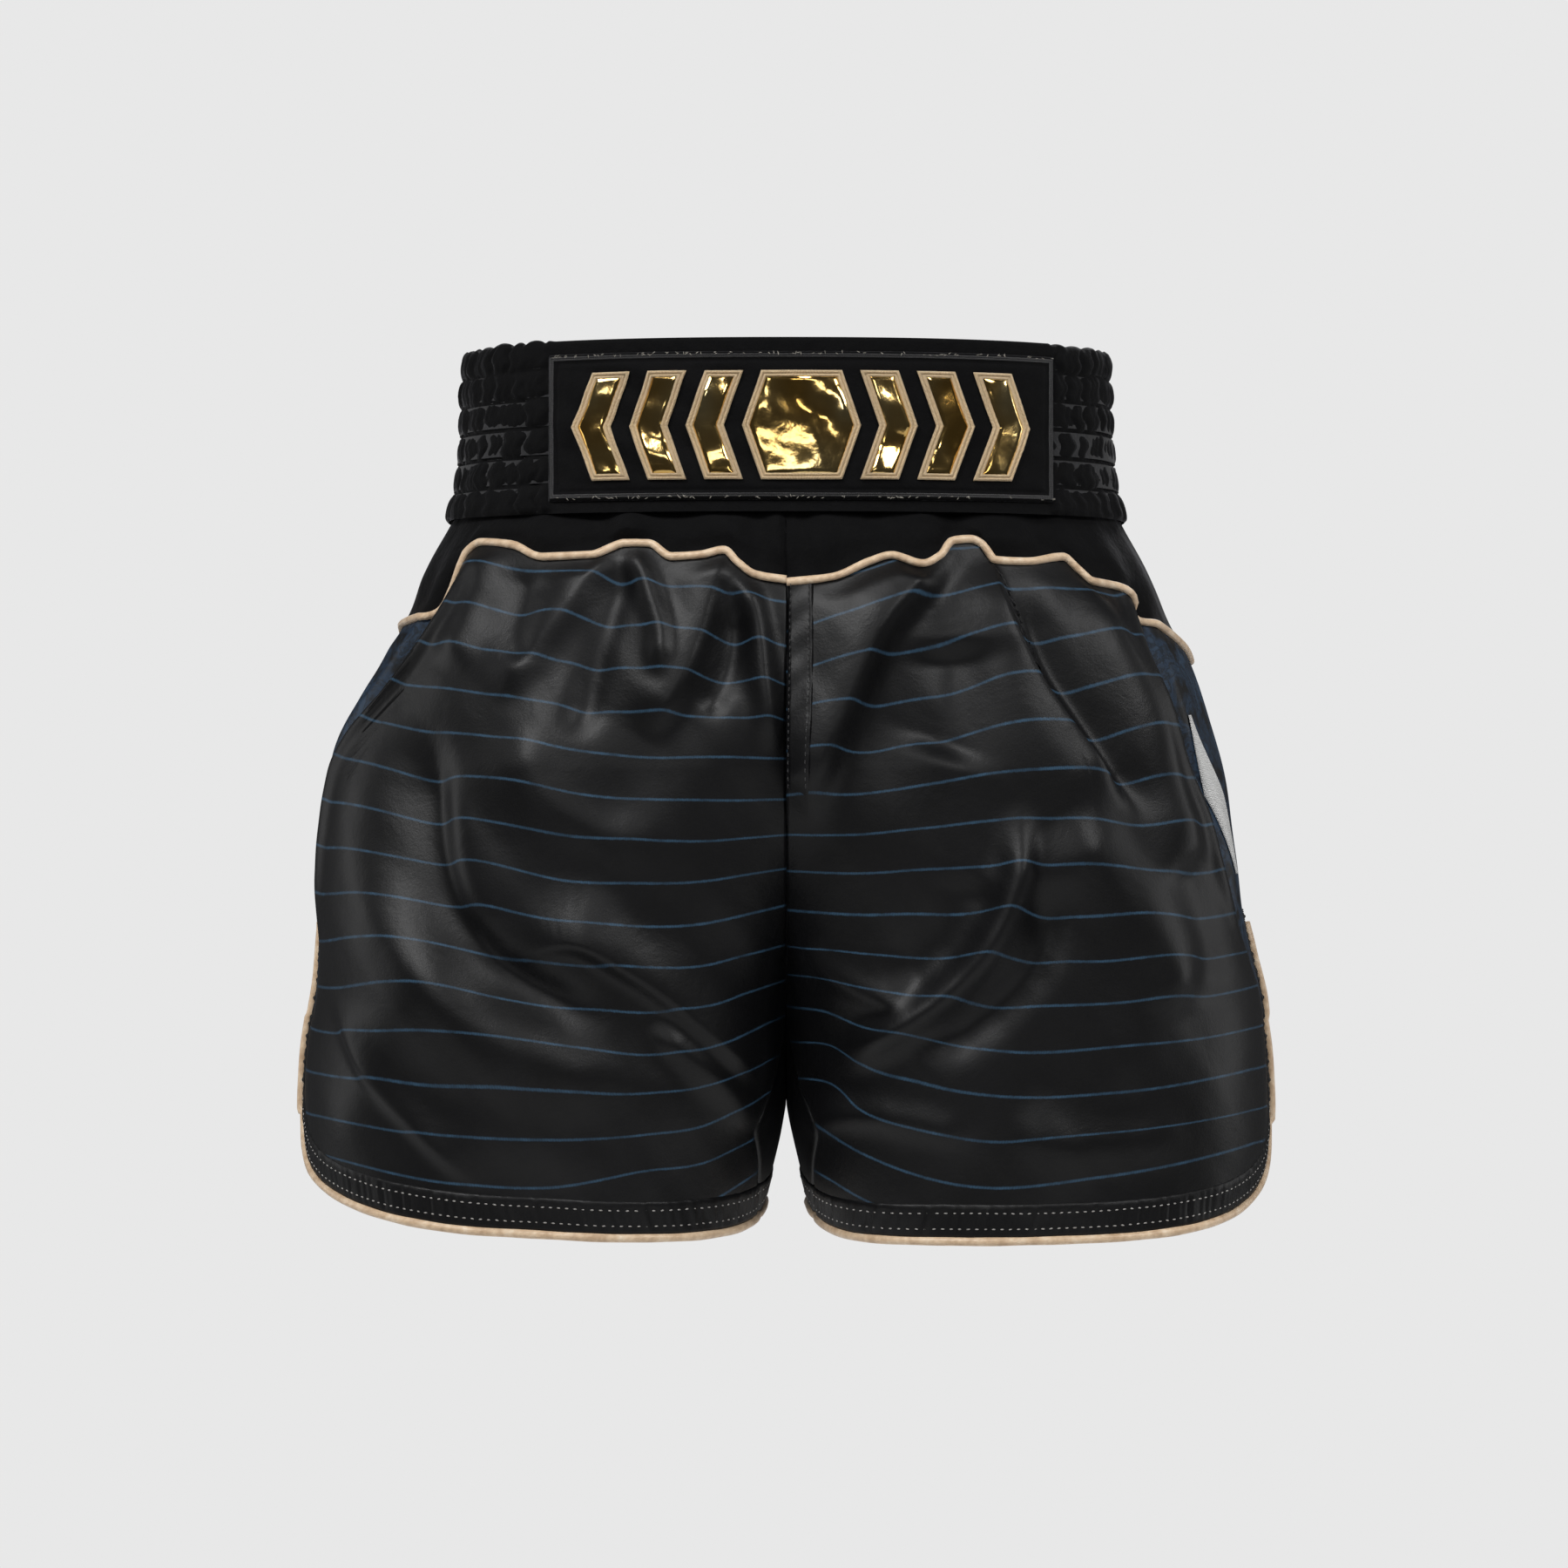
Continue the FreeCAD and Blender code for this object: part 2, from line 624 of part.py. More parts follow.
def vent_strip(rear, lift, thickness):
    """Facing down the front or rear edge of the vent."""
    top, bottom = PIPING_AT, 0.93

    def point(u, w):
        place = top + (bottom - top) * w
        inward = 1.0 + (HEM_BAND_HEIGHT - 1.0) * (u if rear else 1 - u)
        q = vent_edge(place) - inward / LEG_LOOP
        return leg_point(1 - q if rear else q, place)

    return sheet(point, evenly(2), evenly(10), lift, thickness)


def hem_path():
    """(q, w) places of the leg's free edge, from the vent's top on the front to the inseam."""
    down_vent = [PIPING_AT + (1 - PIPING_AT) * t for t in evenly(10)]
    path = [(vent_edge(w), w) for w in down_vent[:-1]]
    for t in evenly(10)[:-1]:
        share = 1 - math.cos(t * math.pi / 2)
        path.append((vent_edge(1.0) - share * CORNER_LENGTH / LEG_LOOP, 1.0))
    corner_end = path[-1][0] - 0.01
    path += [(corner_end * (1 - t), 1.0) for t in evenly(24)]
    return path


def hem_piping():
    """Piping from the vent's top, down its front edge, round the hem and up the rear edge."""
    front = hem_path()
    path = front + [(1 - q, w) for q, w in reversed(front[:-1])]
    on_edge, away = [], []
    for q, w in path:
        on_edge.append(leg_point(q, w))
        away.append(normal_at(leg_point, min(max(q, 0.006), 0.994), w))
    points = []
    for n, (point, normal) in enumerate(zip(on_edge, away)):
        run = on_edge[min(n + 1, len(path) - 1)] - on_edge[max(n - 1, 0)]
        outward = normal.cross(run).normalize()
        points.append(point + outward * (HEM_PIPING_RADIUS + 2 * CLEARANCE) - normal * (CLOTH / 2))
    return tube(points, HEM_PIPING_RADIUS)


def bartack():
    """Dense stitches across the outseam just above the vent."""
    half, drop = BARTACK_LENGTH / 2 / LEG_LOOP, VENT_DROP - BARTACK_HEIGHT - 1.0

    def point(u, w):
        return section_point(0.5 + (2 * u - 1) * half, drop + BARTACK_HEIGHT * w)

    return sheet(point, evenly(2), evenly(2), CLEARANCE + STITCH_HEIGHT, STITCH_HEIGHT)


def hem_pieces():
    """Bands inside the hem and the vent's edges, their stitching, the piping round them and the bartack."""
    inside = -CLOTH - CLEARANCE
    bands = [hem_strip(rear, 0.5, HEM_BAND_HEIGHT, inside, HEM_BAND_THICKNESS) for rear in (False, True)]
    facings = [vent_strip(rear, inside - CLEARANCE, HEM_BAND_THICKNESS) for rear in (False, True)]
    stitches = []
    for row in STITCH_ROWS:
        for rear in (False, True):
            low, high = row - STITCH_WIDTH / 2, row + STITCH_WIDTH / 2
            stitches.append(hem_strip(rear, low, high, 2 * CLEARANCE + STITCH_HEIGHT, STITCH_HEIGHT))
    return {
        "hem_band": Part.makeCompound(bands),
        "vent_facing": Part.makeCompound(facings),
        "hem_stitching": Part.makeCompound(stitches),
        "hem_piping": hem_piping(),
        "vent_bartack": bartack(),
    }


def fly_facing():
    """Narrow topstitched strip beside the centre front seam."""
    top = yoke_drop(0) + YOKE_SEAM_HALF + 1.0

    def point(u, w):
        drop = top + (FLY_END_DROP - top) * w
        return section_point(q_at(CENTRE_GAP + CLEARANCE + FLY_WIDTH * u, drop), drop)

    return sheet(point, evenly(2), evenly(8), 2 * CLEARANCE + HEM_BAND_THICKNESS, HEM_BAND_THICKNESS)


def side_patch():
    """Long pointed patch on the left side panel."""
    middle = 0.5 - (SIDE_PATCH_WIDTH / 2 + 4.0) / LEG_LOOP

    def point(u, w):
        half = SIDE_PATCH_WIDTH / 2 * (1 - 0.88 * abs(2 * w - 1))
        drop = SIDE_PATCH_TOP_DROP + SIDE_PATCH_HEIGHT * w
        return section_point(middle + (2 * u - 1) * half / LEG_LOOP, drop)

    return sheet(point, evenly(4), evenly(12), 2 * CLEARANCE + PATCH_CLOTH, PATCH_CLOTH)


def care_label():
    """Blank label that hangs inside the centre back."""
    top = WAISTBAND_HEIGHT + 2.0

    def point(u, w):
        drop = top + LABEL_LENGTH * w
        return section_point(q_at(LABEL_SIDE + LABEL_WIDTH * (1 - u), drop, False), drop)

    return sheet(point, evenly(4), evenly(4), -CLOTH - LABEL_GAP, LABEL_THICKNESS)


def all_pieces():
    pieces = waistband_pieces()
    pieces.update(patch_pieces())
    pieces.update(both_sides(yoke_pieces()))
    pieces.update(both_sides(panel_pieces()))
    pieces.update(both_sides(gusset_pieces()))
    pieces.update(both_sides(hem_pieces()))
    pieces["fly_facing"] = fly_facing()
    pieces["left_side_patch"] = side_patch()
    pieces["care_label"] = care_label()
    return pieces


made = all_pieces()
for name, shape in sorted(made.items()):
    shape.exportStep(f"parts/{name}.step")
print(len(made), "pieces")
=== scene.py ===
# %% [markdown]
# # Boxing shorts
# These are boxing shorts as they look on a body: a wide shirred waistband of velvet with a patch in front,
# velvet yokes, satin legs with pinstripes, champagne piping in the seams and round the hems, and a vent up
# each side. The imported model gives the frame: where the waistband, the yokes and each leg are, and how the
# legs swing at the hips. This script makes what is seen, piece by piece, in the same place.

import math
from functools import partial

import bmesh
import bpy
import numpy as np
from mathutils import Matrix, Vector


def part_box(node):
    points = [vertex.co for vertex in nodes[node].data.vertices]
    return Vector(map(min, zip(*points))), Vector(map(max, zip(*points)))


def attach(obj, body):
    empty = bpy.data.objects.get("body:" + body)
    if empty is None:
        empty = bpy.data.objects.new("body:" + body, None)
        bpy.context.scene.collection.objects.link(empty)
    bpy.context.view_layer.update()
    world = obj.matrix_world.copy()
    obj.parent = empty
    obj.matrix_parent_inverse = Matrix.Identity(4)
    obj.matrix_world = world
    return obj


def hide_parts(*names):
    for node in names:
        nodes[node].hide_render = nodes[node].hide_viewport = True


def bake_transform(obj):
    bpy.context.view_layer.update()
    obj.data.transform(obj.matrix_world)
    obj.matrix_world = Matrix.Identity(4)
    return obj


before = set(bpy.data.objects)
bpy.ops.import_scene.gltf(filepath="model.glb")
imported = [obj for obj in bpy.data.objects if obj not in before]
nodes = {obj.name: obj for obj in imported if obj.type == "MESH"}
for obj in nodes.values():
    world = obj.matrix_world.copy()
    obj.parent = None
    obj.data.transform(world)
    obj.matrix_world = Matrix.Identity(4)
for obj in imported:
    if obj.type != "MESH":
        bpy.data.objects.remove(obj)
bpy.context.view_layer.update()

# %% [markdown]
# ## The shape of the body inside
# Cloth takes the shape of what it hangs on. Each half of the shorts is a sleeve round half the hips that
# becomes a sleeve round one thigh. The section is a superellipse, fuller than an ellipse, cut open at the
# middle plane above the crotch. A formula is better than drawn loops here, because every seam, cord and
# stitch can ask it where the cloth is. Lengths are in millimetres until a mesh is written.
#
# A place on the cloth is (q, drop): q runs from 0 at the centre front, round the outer side at 0.5, to 1 at
# the centre back, and drop is how far it is below the waistband's top edge.

# %% Sizes and curves of the body
MM = 0.001
waist_low, waist_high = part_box("waistband_shell")
WAISTBAND_HEIGHT = (waist_high[2] - waist_low[2]) / MM
TOTAL_DROP = 390.0
CROTCH_DROP = 330.0
VENT_DROP = 256.0
WAIST_HALF_WIDTH, HEM_HALF_WIDTH = 143.0, 217.0
WAIST_DEPTH, HIP_FRONT_DEPTH, HIP_BACK_DEPTH, HEM_DEPTH = 93.0, 119.0, 124.5, 112.0
OUTER_POWER, INNER_POWER, CROTCH_POWER = 2.3, 3.0, 3.5
THREAD_TURN = math.radians(62)

WIDTH_CURVE = (
    (0.0, 0.0), (0.195, 0.12), (0.25, 0.25), (0.32, 0.41), (0.45, 0.64), (0.58, 0.81), (0.7, 0.91),
    (0.82, 1.0), (1.0, 0.98),
)
DEPTH_CURVE = ((0.0, 0.0), (0.195, 0.2), (0.33, 0.66), (0.48, 1.0), (0.67, 0.95), (0.82, 0.6), (1.0, 0.0))


def hermite(places, values, slopes, at):
    """Cubic through values at places, with the given slopes there, at each place in an array."""
    at = np.clip(np.asarray(at, float), places[0], places[-1])
    i = np.clip(np.searchsorted(places, at, side="right") - 1, 0, len(places) - 2)
    span = places[i + 1] - places[i]
    t = (at - places[i]) / span
    bend = span * (slopes[i] * t * (1 - t) ** 2 - slopes[i + 1] * t * t * (1 - t))
    return values[i] + (values[i + 1] - values[i]) * t * t * (3 - 2 * t) + bend


def along(curve, at):
    """Smooth value of a curve of (place, value) pairs at each place in an array."""
    places, values = np.array(curve, float).T
    return hermite(places, values, np.gradient(values, places), at)


def ease(t):
    """0 below 0, 1 above 1, and smooth between."""
    t = np.clip(t, 0.0, 1.0)
    return t * t * (3 - 2 * t)


def half_width(drop):
    return WAIST_HALF_WIDTH + (HEM_HALF_WIDTH - WAIST_HALF_WIDTH) * along(WIDTH_CURVE, drop / TOTAL_DROP)


def half_depth(drop, front):
    share = along(DEPTH_CURVE, drop / TOTAL_DROP)
    end = np.where(drop / TOTAL_DROP < DEPTH_CURVE[3][0], WAIST_DEPTH, HEM_DEPTH)
    return end + (np.where(front, HIP_FRONT_DEPTH, HIP_BACK_DEPTH) - end) * share


# %% [markdown]
# ### One half of the body
# The two thighs touch, so below the crotch the sleeves part only slowly towards the hem. Above it, each
# sleeve is cut off at the middle plane, deep in front and behind, less and less towards the crotch.

# %% Section of one half
GAP_DROP = 338.0


def leg_gap(drop):
    """Half the space between the legs."""
    below = np.maximum(0.0, drop - GAP_DROP) / (TOTAL_DROP - GAP_DROP)
    return 12.0 * below**1.15


def body_point(q, drop):
    """(x, y, z) of the left half's surface in millimetres, for arrays of q and drop."""
    q, drop = np.broadcast_arrays(np.asarray(q, float), np.asarray(drop, float))
    gap = leg_gap(drop)
    width = half_width(drop) - gap
    below_band = np.maximum(0.0, (drop - WAISTBAND_HEIGHT) / (CROTCH_DROP - WAISTBAND_HEIGHT))
    opened = 1 - np.minimum(1.0, below_band) ** CROTCH_POWER
    offset = (1 - opened**INNER_POWER) ** (1 / INNER_POWER)
    centre = width * offset / (1 + offset)
    reach = width - centre
    depth = half_depth(drop, q < 0.5)
    last_angle = np.arctan2(depth * opened, -centre)
    straight_angle = np.minimum(math.pi / 2 + THREAD_TURN * below_band, last_angle)
    part = 2 * q - 1
    angle = part * straight_angle + part * np.abs(part) ** 7 * (last_angle - straight_angle)
    power = np.where(np.abs(angle) < math.pi / 2, OUTER_POWER, INNER_POWER)
    size = (np.abs(np.cos(angle)) / reach) ** power + (np.abs(np.sin(angle)) / depth) ** power
    radius = size ** (-1 / power)
    return np.stack([gap + centre + radius * np.cos(angle), radius * np.sin(angle), -drop], axis=-1)


def normals(surface, q, drop, step_q=0.002, step_drop=0.8):
    """Outward unit normals of surface(q, drop) at arrays of places on the left half."""
    du = surface(np.minimum(q + step_q, 1), drop) - surface(np.maximum(q - step_q, 0), drop)
    dw = surface(q, drop + step_drop) - surface(q, drop - step_drop)
    found = np.cross(dw, du)
    return found / np.maximum(np.linalg.norm(found, axis=-1, keepdims=True), 1e-9)


girth = body_point(np.linspace(0, 1, 200), 378.0)
LEG_LOOP = float(np.linalg.norm(np.diff(girth, axis=0), axis=1).sum())
print(f"One leg is {LEG_LOOP:.0f} mm round")

# %% [markdown]
# ## Where the seams run
# The yoke seam isn't level: it waves, because the satin below is gathered into it, and the wearer's left
# side hangs a little lower. Its points are (distance from the middle, drop) on the front, and a solver
# turns each into q. The hem is nearly level and rounds up into the vent at the side.

# %% Seam lines
def q_at(x, drop):
    """q on the front at which the body is this far from the middle plane, by halving the range."""
    x, drop = np.broadcast_arrays(np.asarray(x, float), np.asarray(drop, float))
    low, high = np.zeros(x.shape), np.full(x.shape, 0.5)
    for _ in range(26):
        middle = (low + high) / 2
        short = body_point(middle, drop)[..., 0] < x
        low, high = np.where(short, middle, low), np.where(short, high, middle)
    return low


YOKE_FRONT_RIGHT = (
    (0, 106), (14, 104), (21, 99), (27, 93.5), (37, 95.5), (49, 96), (60, 90), (70, 90), (84, 95.5),
    (105, 95.5), (120, 89.5), (134, 88), (141, 93), (147, 103), (154, 114), (162, 120),
)
YOKE_FRONT_LEFT = (
    (0, 107), (20, 105), (36, 98.5), (45, 96), (58, 100), (66, 96), (72, 89), (80, 88), (86, 91), (89, 97),
    (104, 97.5), (121, 95), (128, 101), (133, 105.5), (144, 107), (151, 112), (157, 119), (163, 123),
)
YOKE_BACK = (
    (0.5, 0.0), (0.56, 3.0), (0.62, -3.0), (0.7, 2.0), (0.77, -4.0), (0.84, 1.0), (0.91, -3.0), (1.0, 0.0),
)
YOKE_BACK_LEVEL = {1: ((0.5, 140.0), (0.62, 134.0), (0.8, 120.0), (1.0, 112.0)),
                   -1: ((0.5, 124.0), (0.62, 126.0), (0.8, 119.0), (1.0, 112.0))}


def seam_line(curve, at):
    """Smooth value of a seam's curve that never swings past its own points."""
    places, values = np.array(curve, float).T
    rises = np.diff(values) / np.diff(places)
    before, after = rises[:-1], rises[1:]
    same = before * after > 0
    middle = np.where(same, 2 * before * after / np.where(same, before + after, 1.0), 0.0)
    return hermite(places, values, np.concatenate([[rises[0]], middle, [rises[-1]]]), at)


def yoke_front_curve(side):
    points = YOKE_FRONT_LEFT if side > 0 else YOKE_FRONT_RIGHT
    curve = [(float(q_at(x, drop)) if x else 0.0, drop) for x, drop in points]
    return [*curve, (0.5, YOKE_BACK_LEVEL[side][0][1])]


YOKE_FRONT = {side: yoke_front_curve(side) for side in (1, -1)}


def yoke_drop(side, q):
    """Drop of the yoke seam. side is 1 for the wearer's left half and -1 for the right."""
    back = along(YOKE_BACK_LEVEL[side], q) + along(YOKE_BACK, q)
    return np.where(q < 0.5, seam_line(YOKE_FRONT[side], q), back)


CORNER_RISE, INSEAM_RISE, GUSSET_TOP = 46.0, 8.0, 292.0
HEM_CORNER = {1: (46.0, 50.0), -1: (50.0, 72.0)}
VENT_HALF_AT_HEM, VENT_HALF_AT_TOP = 12.0, 3.4


def vent_half(drop):
    """Half the vent's opening, along the cloth."""
    below = np.clip((drop - VENT_DROP) / (TOTAL_DROP - CORNER_RISE - VENT_DROP), 0.0, 1.0)
    return VENT_HALF_AT_TOP * ease(below / 0.13) + (VENT_HALF_AT_HEM - VENT_HALF_AT_TOP) * below


def hem_drop(side, q):
    """Drop of the hem: level over the thigh, lifted where the vent's corner is cut away and at the inseam."""
    rise, reach = HEM_CORNER[side]
    from_vent = np.maximum(0.0, np.abs(np.asarray(q, float) - 0.5) * LEG_LOOP - VENT_HALF_AT_HEM)
    from_inseam = np.minimum(q, 1 - np.asarray(q, float)) * LEG_LOOP
    return TOTAL_DROP - rise * np.exp(-from_vent / reach) - INSEAM_RISE * np.exp(-((from_inseam / 45.0) ** 2))


SIDE_SEAM_POINTS = {
    1: ((148, 96), (152, 111), (164, 156), (175, 183), (186, 209), (193, 231), (200, 254), (206, 270)),
    -1: (
        (140, 92), (151, 115), (162, 134), (173, 153), (185, 175), (192, 194), (198, 220), (203, 246),
        (207, 270),
    ),
}


def side_seam_curve(side):
    seen = [(drop, float(q_at(x, drop))) for x, drop in SIDE_SEAM_POINTS[side]]
    return [*seen, (326.0, 0.485)]


SIDE_SEAM = {side: side_seam_curve(side) for side in (1, -1)}


def side_seam(side, drop):
    """q of the seam from front panel to side panel: it runs out at the vent's edge above the hem."""
    return np.minimum(seam_line(SIDE_SEAM[side], drop), 0.5 - vent_half(drop) / LEG_LOOP)


def inner_seam(drop):
    """q of the front panel's inner edge: the centre seam, then the gusset's seam."""
    opened = ease((drop - GUSSET_TOP) / 58.0)
    return opened * (0.072 - 0.03 * np.clip((drop - 345.0) / 45.0, 0.0, 1.0))


# %% [markdown]
# ## Folds
# Satin shows every fold, so the folds make these shorts look real. A fold here is a line on the cloth with
# a height and a width on each side of it: a wide roll is a line with two wide sides, a crease is a line with
# one narrow side, and a hollow is a line of negative height. Lines are placed where the cloth pulls:
# down from the peaks of the gathered seam, out from the crotch, and round the thigh. Cloth simulation would
# put folds somewhere, but not where the pull of these seams puts them.

# %% Folds as lines
def smooth_line(points, per_span=8):
    """Points of a smooth line through the given ones."""
    points = np.array(points, float)
    steps = np.arange(len(points))
    fine = np.linspace(0, len(points) - 1, per_span * (len(points) - 1) + 1)
    return np.stack([along(list(zip(steps, points[:, k])), fine) for k in (0, 1)], axis=-1)


def fold_height(x, drop, line, height, above, below, fade):
    """Height of one fold at places near its line."""
    start, step = line[:-1], np.diff(line, axis=0)
    length = np.linalg.norm(step, axis=1)
    run = np.concatenate([[0], np.cumsum(length)])
    at = np.stack([x, drop], axis=-1)[:, None, :] - start
    share = np.clip((at * step).sum(-1) / length**2, 0.0, 1.0)
    away = at - step * share[..., None]
    distance = np.linalg.norm(away, axis=-1)
    nearest, every = distance.argmin(-1), np.arange(len(x))
    share, away = share[every, nearest], away[every, nearest]
    right = step[nearest, 0] * away[:, 1] > step[nearest, 1] * away[:, 0]
    travelled = (run[nearest] + share * length[nearest]) / run[-1]
    ends = ease(travelled / fade) * ease((1 - travelled) / fade)
    return height * ends * np.exp(-((distance[every, nearest] / np.where(right, below, above)) ** 2))


def fold(x, drop, points, height, above, below=None, fade=0.22):
    """Height added to the cloth at (x, drop) by one fold. It fades in and out over its ends.

    above and below are its widths on the left and the right of the line's direction.
    """
    below = above if below is None else below
    line = smooth_line(points)
    reach = 2.6 * max(above, below)
    low, high = line.min(axis=0) - reach, line.max(axis=0) + reach
    near = (x > low[0]) & (x < high[0]) & (drop > low[1]) & (drop < high[1])
    total = np.zeros(x.shape)
    total[near] = fold_height(x[near], drop[near], line, height, above, below, fade)
    return total


FOLD_DEPTH = 1.3
FRONT_FOLDS = {
    -1: (
        (((-72, 82), (-88, 108), (-108, 134), (-128, 158)), 4.5, 8, 14),
        (((-70, 84), (-60, 108), (-54, 130), (-56, 150)), 3.0, 5, 6),
        (((-68, 96), (-78, 128), (-86, 158), (-92, 178)), -3.2, 8),
        (((-27, 84), (-34, 116), (-44, 146), (-62, 176)), 4.6, 7, 15),
        (((-27, 86), (-15, 116), (-9, 150), (-5, 184)), 4.6, 6, 7),
        (((-20, 116), (-24, 142), (-36, 168)), -2.4, 6),
        (((-130, 84), (-138, 118), (-148, 146)), 3.0, 9),
        (((-110, 98), (-116, 122), (-114, 146)), -2.0, 8),
        (((-168, 108), (-184, 160), (-190, 210), (-176, 254), (-146, 288), (-108, 312), (-66, 326), (-28, 336)),
         7.0, 17, 26),
        (((-158, 160), (-155, 206), (-146, 244), (-126, 271), (-98, 287), (-70, 298)), -6.0, 9, 13),
        (((-118, 168), (-108, 196), (-84, 214), (-50, 218)), 2.6, 10, 15),
        (((-118, 268), (-92, 262), (-66, 275), (-44, 292), (-22, 315), (-6, 336)), 5.6, 18, 5),
        (((-60, 296), (-42, 312), (-24, 330), (-12, 348)), 3.6, 8, 6),
        (((-199, 282), (-182, 316), (-157, 344), (-126, 370)), 3.2, 12, 5),
        (((-150, 336), (-110, 352), (-70, 358)), 1.6, 12),
    ),
    1: (
        (((78, 82), (58, 106), (40, 128), (28, 156), (17, 182), (5, 214)), 7.5, 7, 22),
        (((88, 92), (93, 118), (107, 147), (125, 174), (148, 204)), 5.6, 3.0, 24),
        (((97, 104), (114, 140), (136, 174), (158, 212)), -4.6, 8, 6),
        (((126, 96), (142, 130), (157, 163), (170, 205), (180, 240)), 5.4, 8, 12),
        (((72, 130), (72, 158), (64, 186)), -5.4, 18),
        (((98, 200), (100, 230), (90, 258), (74, 279), (49, 299), (16, 318)), 6.6, 7, 8),
        (((80, 230), (68, 258), (42, 280)), -2.6, 13),
        (((114, 232), (108, 268), (88, 292), (56, 314)), -4.6, 9),
        (((114, 208), (138, 234), (158, 264), (176, 298)), 5.0, 14, 17),
        (((172, 222), (184, 258), (186, 292)), -3.0, 10),
        (((2, 258), (16, 272), (34, 284), (56, 290)), 2.6, 7, 5),
        (((4, 346), (26, 338), (52, 340), (84, 348)), 2.6, 9, 6),
        (((90, 340), (130, 350), (176, 344)), 2.4, 12),
    ),
}
BACK_FOLDS = (
    (((20, 100), (38, 150), (60, 190), (96, 224)), 5.0, 12, 16),
    (((70, 100), (84, 140), (110, 176)), 4.0, 10, 12),
    (((120, 108), (136, 150), (150, 200), (156, 250)), 4.5, 12, 14),
    (((4, 210), (30, 232), (70, 246), (120, 244)), 4.5, 10, 14),
    (((6, 318), (40, 300), (84, 292), (140, 300)), 5.0, 10, 14),
    (((10, 340), (50, 330), (90, 340), (130, 356)), 3.0, 9, 9),
    (((60, 210), (90, 262), (140, 290)), -3.5, 14),
    (((176, 190), (186, 240), (180, 300)), 3.0, 14),
)


# %% [markdown]
# ### Small unevenness
# Between the folds no cloth is perfectly smooth. A few sine waves of unlike lengths, added, give slow swells
# without a pattern that the eye can catch. Each side has its own phase, so the two halves differ, and nothing
# in them is random, so each run makes the same cloth.

# %% Relief of the leg cloth
SWELLS = (  # wavelength across, wavelength down, height
    (71.0, 127.0, 0.8), (93.0, -81.0, 0.7), (47.0, 62.0, 0.25), (-29.0, 41.0, 0.1), (17.0, -23.0, 0.05),
)


def swell(x, drop, phase):
    """Slow unevenness at (x, drop), in millimetres. Another phase gives another cloth."""
    total = 0.0
    for n, (across, down, height) in enumerate(SWELLS):
        total = total + height * np.sin(2 * math.pi * (x / across + drop / down) + phase * (n + 1.7) + n)
    return total


def relief(side, q, drop, at):
    """Height of the folded cloth above the body, at points of the body."""
    x = at[..., 0] * side
    in_front = ease((0.5 - q) / 0.05)
    behind = ease((q - 0.5) / 0.05)
    from_inseam = np.where(drop < CROTCH_DROP - 30, 1.0, ease(np.abs(at[..., 1]) / 45.0))
    front = FOLD_DEPTH * sum(fold(x, drop, *shape) for shape in FRONT_FOLDS[side])
    lower = 6 if side > 0 else 0
    lines = [([(px * side, pd + lower) for px, pd in line], *rest) for line, *rest in BACK_FOLDS]
    back = sum(fold(x, drop, line, h, *w) for line, h, *w in lines)
    folds = (front * in_front + back * behind) * from_inseam
    at_seam = ease((drop - yoke_drop(side, q)) / 12.0)
    return folds * (0.35 + 0.65 * at_seam) + swell(x, drop, 2.0 + side) * from_inseam * (0.3 + 0.7 * at_seam)


def side_tuck(side, q, drop):
    """How far the cloth sinks behind the front panel's rolled outer edge and into the gusset's seams."""
    from_seam = (q - side_seam(side, drop)) * LEG_LOOP
    depth = 4.5 * ease((drop - 88.0) / 30.0) * (1 - ease((drop - 225.0) / 50.0))
    behind = ease(from_seam / 4.0) * (1 - ease((from_seam - 9.0) / 16.0))
    roll = 0.6 * np.exp(-(((from_seam + 7.0) / 7.0) ** 2)) * (from_seam < 0)
    from_gusset = (np.minimum(q, 1 - q) - inner_seam(drop)) * LEG_LOOP
    seam_dip = 0.9 * np.exp(-((from_gusset / 2.2) ** 2)) * ease((drop - 296.0) / 20.0)
    level = 190.0 if side < 0 else 160.0
    spread = 5.0 * np.exp(-(((q - 0.5) / 0.08) ** 2)) * np.exp(-(((drop - level) / 42.0) ** 2))
    return spread + depth * (roll - behind) - seam_dip


# %% [markdown]
# ### A lattice of heights
# The folds are summed once on a fine lattice, and everything made later reads the lattice. Catmull-Rom
# interpolation keeps it smooth, so that highlights run evenly across it.

# %% The cloth as a surface
LATTICE_STEP = 1.5
LATTICE_Q, LATTICE_DROP = np.linspace(0.0, 1.0, 601), np.arange(60.0, 402.0, LATTICE_STEP)


def lattice_of_heights(side):
    q, drop = np.meshgrid(LATTICE_Q, LATTICE_DROP, indexing="ij")
    return relief(side, q, drop, body_point(q, drop)) + side_tuck(side, q, drop)


def cubic_weights(t):
    return (
        0.5 * (-t + 2 * t**2 - t**3), 0.5 * (2 - 5 * t**2 + 3 * t**3),
        0.5 * (t + 4 * t**2 - 3 * t**3), 0.5 * (t**3 - t**2),
    )


def read_lattice(table, q, drop):
    """Height at any place, by Catmull-Rom interpolation both ways."""
    i = np.clip(q, 0, 1) * (len(LATTICE_Q) - 1)
    j = (np.clip(drop, LATTICE_DROP[0], LATTICE_DROP[-1]) - LATTICE_DROP[0]) / LATTICE_STEP
    i0, j0 = np.floor(i).astype(int), np.floor(j).astype(int)
    total = 0.0
    for n, across in enumerate(cubic_weights(i - i0)):
        for m, down in enumerate(cubic_weights(j - j0)):
            rows = np.clip(i0 + n - 1, 0, len(LATTICE_Q) - 1), np.clip(j0 + m - 1, 0, len(LATTICE_DROP) - 1)
            total = total + across * down * table[rows]
    return total


HEIGHTS = {side: lattice_of_heights(side) for side in (1, -1)}


